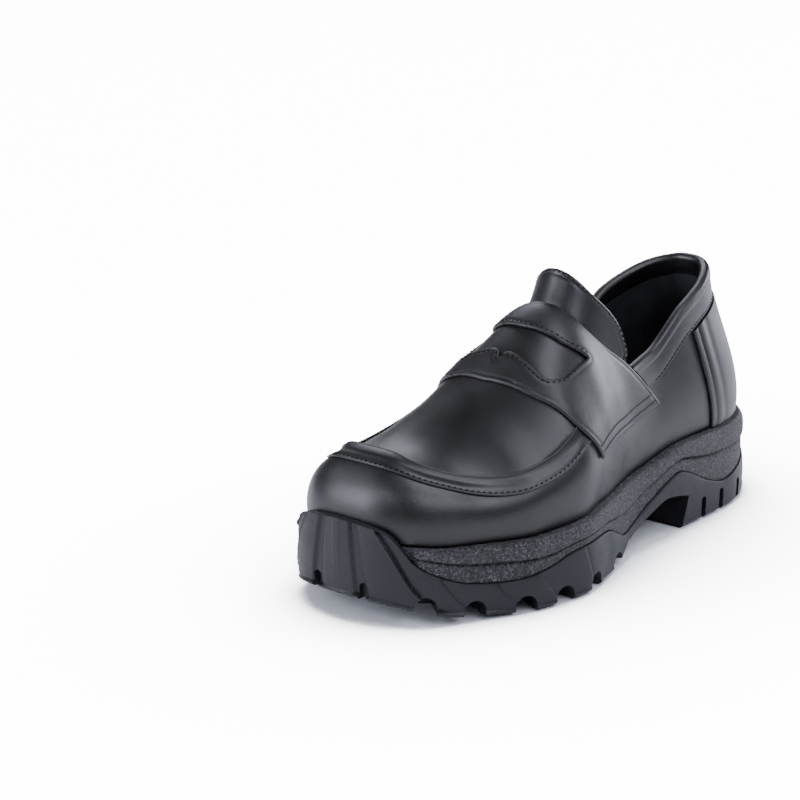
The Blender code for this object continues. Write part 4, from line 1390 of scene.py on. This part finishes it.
# %% [markdown]
# ## The saddle strap
# The strap is a band of leather over the instep with a slot cut in it. A Boolean would leave a raw edge, so
# the mesh is laid out round the slot: one grid in front of it, one behind it, and both share their points
# beyond the slot's two ends.

# %% Strap grid
def slot_stations(place):
    front, back = strap_stations(place)
    reach = np.minimum(1, abs(place) / SLOT_END)
    return mix(front, back, blend_at(SLOTS, "front", reach)), mix(front, back, blend_at(SLOTS, "back", reach))


beyond = bunched(26, SLOT_END, STRAP_END, 0.7)
strap_places = np.concatenate((-beyond[::-1], bunched(120, -SLOT_END, SLOT_END, 0.7)[1:-1], beyond))
front, back = strap_stations(strap_places)
cut_front, cut_back = slot_stations(strap_places)
joined = abs(strap_places) >= SLOT_END - 1e-6
middle = (cut_front + cut_back) / 2
cut_front = np.where(joined, middle, cut_front)
cut_back = np.where(joined, middle, cut_back)
band = bunched(26, pull=0.75)
front_grid = soft_upper_point(mix(front[:, None], cut_front[:, None], band), strap_places[:, None])
back_grid = soft_upper_point(mix(cut_back[:, None], back[:, None], band), strap_places[:, None])
strap_grid = np.concatenate((front_grid, back_grid), 1)
split = len(band)
strap_normals = grid_normals(strap_grid)
strap_middle = np.clip(mix(front[:, None], back[:, None], 0.5), 0, 1)
coarse = surface_normal(upper_point, strap_middle, strap_places[:, None])
strap_normals = np.where((dot(strap_normals, coarse) < 0)[..., None], -strap_normals, strap_normals)
strap_normals[:, split - 1] = strap_normals[:, split - 2]
strap_normals[:, split] = strap_normals[:, split + 1]
strap_normals[joined, split - 1] = strap_normals[joined, split] = unit(
    strap_normals[joined, split - 2] + strap_normals[joined, split + 1]
)
strap_normals = unit(smoothed(strap_normals, 8, 0))
print("strap grid", strap_grid.shape)

# %% Strap sheet
LONG_RIM_STEP = 0.4 * MM
open_rows = np.where(~joined)[0]
slot_line = np.concatenate((strap_grid[open_rows, split - 1], strap_grid[open_rows, split][::-1]))
slot_line = resample(np.concatenate((slot_line, slot_line[:1])), RIM_STEP)
outer_rim = np.concatenate((strap_grid[:, 0], strap_grid[-1], strap_grid[::-1, -1], strap_grid[0, ::-1]))
outer_gap = distance_to(strap_grid, resample(outer_rim, LONG_RIM_STEP)) / MM
slot_gap = distance_to(strap_grid, slot_line) / MM
both_gaps = np.minimum(outer_gap, slot_gap)
strap_high = (
    2 * GAP
    + STRAP_THICKNESS * (0.35 + 0.65 * rounded(both_gaps, 1.5))
    - 0.30 * MM * trough(outer_gap, 2.4, 0.5)
    - 0.35 * MM * trough(slot_gap, 2.2, 0.6)
)
low_side = strap_grid + strap_normals * 2 * GAP
high_side = strap_grid + strap_normals * strap_high[..., None]
row_count, column_count = strap_grid.shape[:2]
shift = row_count * column_count
strap_faces = []
for r in range(row_count - 1):
    for c in range(column_count - 1):
        if c != split - 1:
            near, far = r * column_count + c, (r + 1) * column_count + c
            quad = (near, far, far + 1, near + 1)
            strap_faces += [quad, tuple(shift + k for k in reversed(quad))]
last_seam = (row_count - 1) * column_count + split
seam_ends = ({split - 1, split}, {last_seam - 1, last_seam})
rim = border(row_count, column_count)
walls = [pair for pair in zip(rim, rim[1:] + rim[:1]) if set(pair) not in seam_ends]
for r in range(open_rows[0] - 1, open_rows[-1] + 1):
    walls += [(r * column_count + c, (r + 1) * column_count + c) for c in (split - 1, split)]
strap_faces += [(a, b, shift + b, shift + a) for a, b in walls]
strap_points = np.concatenate((low_side.reshape(-1, 3), high_side.reshape(-1, 3)))
add_piece("strap_leather", strap_points, strap_faces, strap_leather, "saddle_strap")

# %% Stitches at the strap's ends
SINK = 0.05 * MM
END_ROWS = (0.065, 0.16)
END_PITCH, END_SLANT = 2.4 * MM, 0.6
for side, word in ((1, "outer"), (-1, "inner")):
    for k, inside in enumerate(END_ROWS):
        row = np.argmin(abs(strap_places - side * (STRAP_END - inside)))
        line, up = high_side[row, 3:-3], strap_normals[row, 3:-3]
        stitch_row(f"stitches_strap_{word}_{k}", line - up * SINK, up, thread_grey, END_PITCH, END_SLANT)

# %% Stitches round the slot
SLOT_SEAM = 2.4 * MM
slot_rows = open_rows[4:-4]
sides = (("front", high_side[:, split - 1::-1], split - 4), ("back", high_side[:, split:], split + 3))
for word, panel, column in sides:
    line = np.array([read_at(panel[r], lengths_along(panel[r]), SLOT_SEAM) for r in slot_rows])
    up = strap_normals[slot_rows, column]
    stitch_row(f"stitches_slot_{word}", line - up * SINK, up, thread_black)

# %% [markdown]
# ## The collar
# A padded band of leather is folded over the top line. It has a firm roll on top, a pressed line under the
# roll, and a row of stitches at its lower edge. Inside, it meets the lining. A bevelled curve would give one
# round section everywhere, so the band is a strip with a section of its own.

# %% Collar binding
Bind = namedtuple("Bind", "drop stand")
BINDS = (
    Bind(14.0, 0.30),
    Bind(14.0, 0.65),
    Bind(13.7, 0.90),
    Bind(13.2, 1.00),
    Bind(12.7, 0.80),
    Bind(12.2, 0.95),
    Bind(11.0, 1.15),
    Bind(9.0, 1.35),
    Bind(7.0, 1.45),
    Bind(5.0, 1.50),
    Bind(3.8, 1.50),
    Bind(3.2, 1.55),
    Bind(2.6, 1.85),
    Bind(1.5, 1.95),
)


Inside = namedtuple("Inside", "drop depth")
INSIDES = (
    Inside(1.5, 1.7),
    Inside(3.0, 1.7),
    Inside(5.0, 1.7),
    Inside(7.0, 1.2),
    Inside(8.0, 1.2),
)
ROLL_PADDING = 1.8 * MM
ROLL_HEIGHT = 0.9
FOLD_HEIGHT = 1.1


def band_turn(place, along):
    """A turn along the collar, from behind the strap's outer end round the heel to its inner end."""
    back_edge = blend_at(STRAPS, "back", np.maximum(1.0, place))
    outer = turn_of(back_edge - 4 * GAP / SOLE_LENGTH, 1)
    return mix(outer, -outer, along)


def collar_section(along):
    section = []
    for bind in BINDS:
        turn, share = below_edge(lambda place: band_turn(place, along), bind.drop * MM)
        section.append(wall_point(turn, share) + wall_normal(turn, share) * (bind.stand * MM))
    turn = band_turn(1, along)
    normal = wall_normal(turn, 1.0 + 0 * turn)
    upward = unit(edge_point(turn) - wall_point(turn, 0.96 + 0 * turn))
    middle = edge_point(turn) - normal * UPPER_WALL / 2

    def arc(start, end, count, reach, high):
        for angle in np.linspace(start, end, count):
            out, up = reach * math.cos(angle), reach * high * math.sin(angle)
            section.append(middle + normal * out + upward * up)

    arc(0, math.pi, 13, UPPER_WALL / 2 + ROLL_PADDING, ROLL_HEIGHT)
    for row in INSIDES:
        inside = share_below_edge(turn, row.drop * MM)
        section.append(wall_point(turn, inside) - wall_normal(turn, inside) * (UPPER_WALL + row.depth * MM))
    section.append(wall_point(turn, inside) - wall_normal(turn, inside) * (UPPER_WALL + GAP))
    arc(math.pi, 0, 9, UPPER_WALL / 2 + GAP, FOLD_HEIGHT)
    return section


COLLAR_STEPS = 301
along = np.linspace(0, 1, COLLAR_STEPS)
section = np.stack(collar_section(along), 1)
swept_strip("collar_binding", section, smooth_leather, "collar_band")

# %% Stitches of the collar
COLLAR_SEAM_DROP = 12.7 * MM
COLLAR_SEAM_STAND = 0.72 * MM
run = along[6:-6]
turn, share = below_edge(lambda place: band_turn(place, run), COLLAR_SEAM_DROP)
normals = wall_normal(turn, share)
stitch_row("stitches_collar", wall_point(turn, share) + normals * COLLAR_SEAM_STAND, normals, thread_black)

# %% [markdown]
# ## The heel counter
# The counter is a thicker overlay round the heel. Its front edge is folded double, so a raised strip runs
# down behind the edge, with a pressed line after it. Both come from the distance to that edge.

# %% Counter
COUNTER_FOOT = 0.02
rows_up = bunched(40, pull=0.6)
counter_front = blend_at(COUNTER_FRONTS, "turn", rows_up)
edge_run = bunched(150, 0, 1, 0.9)
counter_turns = mix(counter_front[:, None], -counter_front[:, None], edge_run)
counter_top = np.stack([share_below_edge(row, COLLAR_BAND_HEIGHT + 2 * GAP) for row in counter_turns])
counter_shares = mix(COUNTER_FOOT, counter_top, rows_up[:, None])
counter_grid = wall_point(counter_turns, counter_shares)
counter_normals = wall_normal(counter_turns, counter_shares)
side_edges = np.concatenate([resample(counter_grid[:, k], LONG_RIM_STEP) for k in (0, -1)])
side_gap = distance_to(counter_grid, side_edges) / MM
counter_high = (
    GAP
    + COUNTER_THICKNESS * (0.3 + 0.7 * rounded(side_gap, 1.2))
    - 0.40 * MM * trough(side_gap, 4.4, 0.9)
    + 0.30 * MM * trough(side_gap, 8.0, 2.5)
    - 0.25 * MM * trough(side_gap, 13.0, 2.2)
)
sheet(
    "counter_leather", counter_grid, counter_normals, GAP, counter_high,
    smooth_leather, "heel_counter",
)

# %% [markdown]
# ## Inside the shoe
# The lining is thin leather glued to the wall, with faint wrinkles where it was drawn round the heel. The
# footbed lies on the midsole.

# %% Lining
LINING_END = 0.62
LINING_FOOT, LINING_DROP = 0.06, 8.4 * MM
LINING_STAND = 1.1 * MM
WRINKLE_DEPTH = 0.4 * MM
lining_turns = np.linspace(-LINING_END, LINING_END, 220)[:, None]
drops = np.linspace(0, 1, 40)
lining_shares = mix(LINING_FOOT, share_below_edge(lining_turns, LINING_DROP), drops)
lining_grid = wall_point(lining_turns, lining_shares)
lining_normals = wall_normal(lining_turns + 0 * lining_shares, lining_shares)
wrinkle = WRINKLE_DEPTH * np.sin(70 * lining_turns + 9 * drops) * np.sin(6 * lining_turns - 4 * drops)
wrinkle = wrinkle * smooth_step(0.2, 0.6, drops) * (1 - smooth_step(0.85, 1.0, drops))
lining_in, lining_out = -(UPPER_WALL + LINING_STAND) + wrinkle, -(UPPER_WALL + GAP)
sheet("lining", lining_grid, lining_normals, lining_in, lining_out, lining_leather, None)

# %% Footbed
FOOTBED_CORNER = ((0, 1.2), (0.5, 0.4), (1.4, 0), (5, 0.3))
inset = LEDGE + UPPER_WALL + 4 * GAP
stations = station_of(ring_turns)
floor = feather_height(stations)
rings = [(-inset + 0 * ring_turns, floor + GAP)]
for inward, down in FOOTBED_CORNER:
    rings.append((-inset - inward * MM + 0 * ring_turns, floor + INSOLE_THICKNESS - down * MM))
footbed_points, footbed_faces = ring_mesh(rings, ring_turns)
add_piece("footbed", footbed_points, footbed_faces, lining_leather, "insole")

# %% [markdown]
# ## The photograph's view
# The camera stands where the photo's camera stood: its direction, distance and roll were fitted to the shoe's
# outline. Its three axes are worked out from those angles and written into its matrix.

# %% Camera
AZIMUTH, ELEVATION, ROLL = math.radians(41.91), math.radians(17.0), math.radians(-1.31)
DISTANCE, SIDE_SHIFT, UP_SHIFT = 1487.0 * MM, -73.83 * MM, 73.51 * MM
FOCAL_PIXELS, IMAGE_PIXELS, SENSOR = 2936.7, 800, 36.0
backward = np.array((
    math.sin(AZIMUTH) * math.cos(ELEVATION),
    -math.cos(AZIMUTH) * math.cos(ELEVATION),
    math.sin(ELEVATION),
))
rightward = np.array((math.cos(AZIMUTH), math.sin(AZIMUTH), 0))
upward = np.cross(backward, rightward)
eye = rightward * SIDE_SHIFT + upward * UP_SHIFT + backward * DISTANCE
image_right = rightward * math.cos(ROLL) + upward * math.sin(ROLL)
image_up = -rightward * math.sin(ROLL) + upward * math.cos(ROLL)
camera_data = bpy.data.cameras.new("photo_camera")
camera_data.sensor_width = SENSOR
camera_data.lens = FOCAL_PIXELS / IMAGE_PIXELS * SENSOR
camera = new_object("photo_camera", camera_data)


def turn_to_axes(thing, x, y, z, place):
    """Places a camera or a lamp by its own three axes. It looks along -z."""
    pose = np.eye(4)
    pose[:3] = np.stack((x, y, z, place), 1)
    thing.matrix_world = Matrix(pose.tolist())


turn_to_axes(camera, image_right, image_up, backward, eye)
bpy.context.scene.camera = camera
print("camera at", np.round(eye, 3))

# %% [markdown]
# ## The floor and the lights
# Black leather shows only what it reflects, so large soft lamps make its broad highlights. The floor is white
# paper that glows, as on a light table. A lamp under it would light the sole too, so the floor glows much more
# for the camera than for the shoe. Its glow fades close under the shoe, which paints the shoe's shadow on it.

# %% Floor
def seen_or_lighting(tree, seen, lighting):
    """One strength for what the camera sees and another for what lights the shoe."""
    rays = tree.nodes.new("ShaderNodeLightPath")
    strength = add_node(tree, "ShaderNodeMapRange", to_min=lighting, to_max=seen)
    tree.links.new(rays.outputs["Is Camera Ray"], strength.inputs["Value"])
    return strength.outputs["Result"]


FLOOR_REACH, FLOOR_LEVEL = 4.0, -0.4 * MM
FLOOR_SEEN, FLOOR_LIGHTING = 14.0, 0.7
SHADE_REACH = 0.16


def floor_plane():
    """White paper that glows as on a light table, with a painted shadow: the glow fades close under the shoe.
    """
    mesh = bpy.data.meshes.new("floor")
    signs = ((-1, -1), (1, -1), (1, 1), (-1, 1))
    corners = [(x * FLOOR_REACH, y * FLOOR_REACH, FLOOR_LEVEL) for x, y in signs]
    mesh.from_pydata(corners, [], [(0, 1, 2, 3)])
    floor = new_object("floor", mesh)
    material, tree, shader = new_material("floor_white", 0.7, specular=0.1)
    shader.inputs["Base Color"].default_value = (0.86, 0.88, 0.92, 1)
    shader.inputs["Emission Color"].default_value = (0.97, 0.98, 1.0, 1)
    # Painted shadow: the floor's glow fades where the shoe stands close above it.
    painted_shadow_ao = add_node(tree, "ShaderNodeAmbientOcclusion", samples=8, distance=SHADE_REACH)
    painted_shadow_fade = add_node(tree, "ShaderNodeMapRange", from_min=0.5)
    tree.links.new(painted_shadow_ao.outputs["AO"], painted_shadow_fade.inputs["Value"])
    strength = seen_or_lighting(tree, FLOOR_SEEN, FLOOR_LIGHTING)
    glow = math_node(tree, "MULTIPLY", painted_shadow_fade.outputs["Result"], strength)
    tree.links.new(glow, shader.inputs["Emission Strength"])
    mesh.materials.append(material)


floor_plane()
print("floor", FLOOR_SEEN, "seen,", FLOOR_LIGHTING, "lighting")

# %% Lamps
Lamp = namedtuple("Lamp", "name place target size watts")
LAMPS = (
    Lamp("overhead", (0.55, 0.35, 1.60), (0, 0, 0.05), (1.0, 0.8), 14),
    Lamp("right_high", (1.08, -0.19, 1.02), (0, -0.05, 0.06), (1.0, 0.6), 10.5),
    Lamp("front_left", (-0.85, -1.42, 0.62), (0, -0.1, 0.06), (0.6, 0.8), 21),
    Lamp("front_high", (0.05, -1.25, 1.00), (0, 0, 0.10), (0.5, 0.4), 4),
    Lamp("left_high", (-1.05, -0.75, 1.10), (0, 0, 0.08), (0.9, 0.7), 4),
    Lamp("back_left", (-1.08, 1.04, 1.00), (0, 0, 0.06), (0.9, 0.7), 7.5),
    Lamp("back_right", (0.88, 1.05, 0.66), (0, 0, 0.08), (0.6, 0.5), 1.8),
    Lamp("back_low", (0.25, 1.75, 0.34), (0, 0, 0.08), (0.7, 0.4), 13),
)
COOL = (0.86, 0.88, 1.0)


def soft_light(lamp):
    """A cool rectangular lamp, level with the floor along its width, that faces its target."""
    data = bpy.data.lights.new(lamp.name, "AREA")
    data.shape = "RECTANGLE"
    data.size, data.size_y = lamp.size
    data.energy = lamp.watts
    data.color = COOL
    z = unit(np.array(lamp.place) - np.array(lamp.target))
    x = unit(np.cross(np.array((0, 0, 1.0)), z))
    turn_to_axes(new_object(lamp.name, data), x, np.cross(z, x), z, lamp.place)


for lamp in LAMPS:
    soft_light(lamp)
print(len(LAMPS), "lamps")

# %% Studio
WORLD_SEEN, WORLD_LIGHTING = 15.0, 0.16


def studio_world():
    """White to the camera, and dim to the shoe, so that black leather stays black between the lamps."""
    world = bpy.data.worlds.new("studio")
    world.use_nodes = True
    tree = world.node_tree
    background = tree.nodes["Background"]
    background.inputs["Color"].default_value = (0.97, 0.98, 1.0, 1)
    tree.links.new(seen_or_lighting(tree, WORLD_SEEN, WORLD_LIGHTING), background.inputs["Strength"])
    bpy.context.scene.world = world


studio_world()
print("world", WORLD_SEEN, "seen,", WORLD_LIGHTING, "lighting")
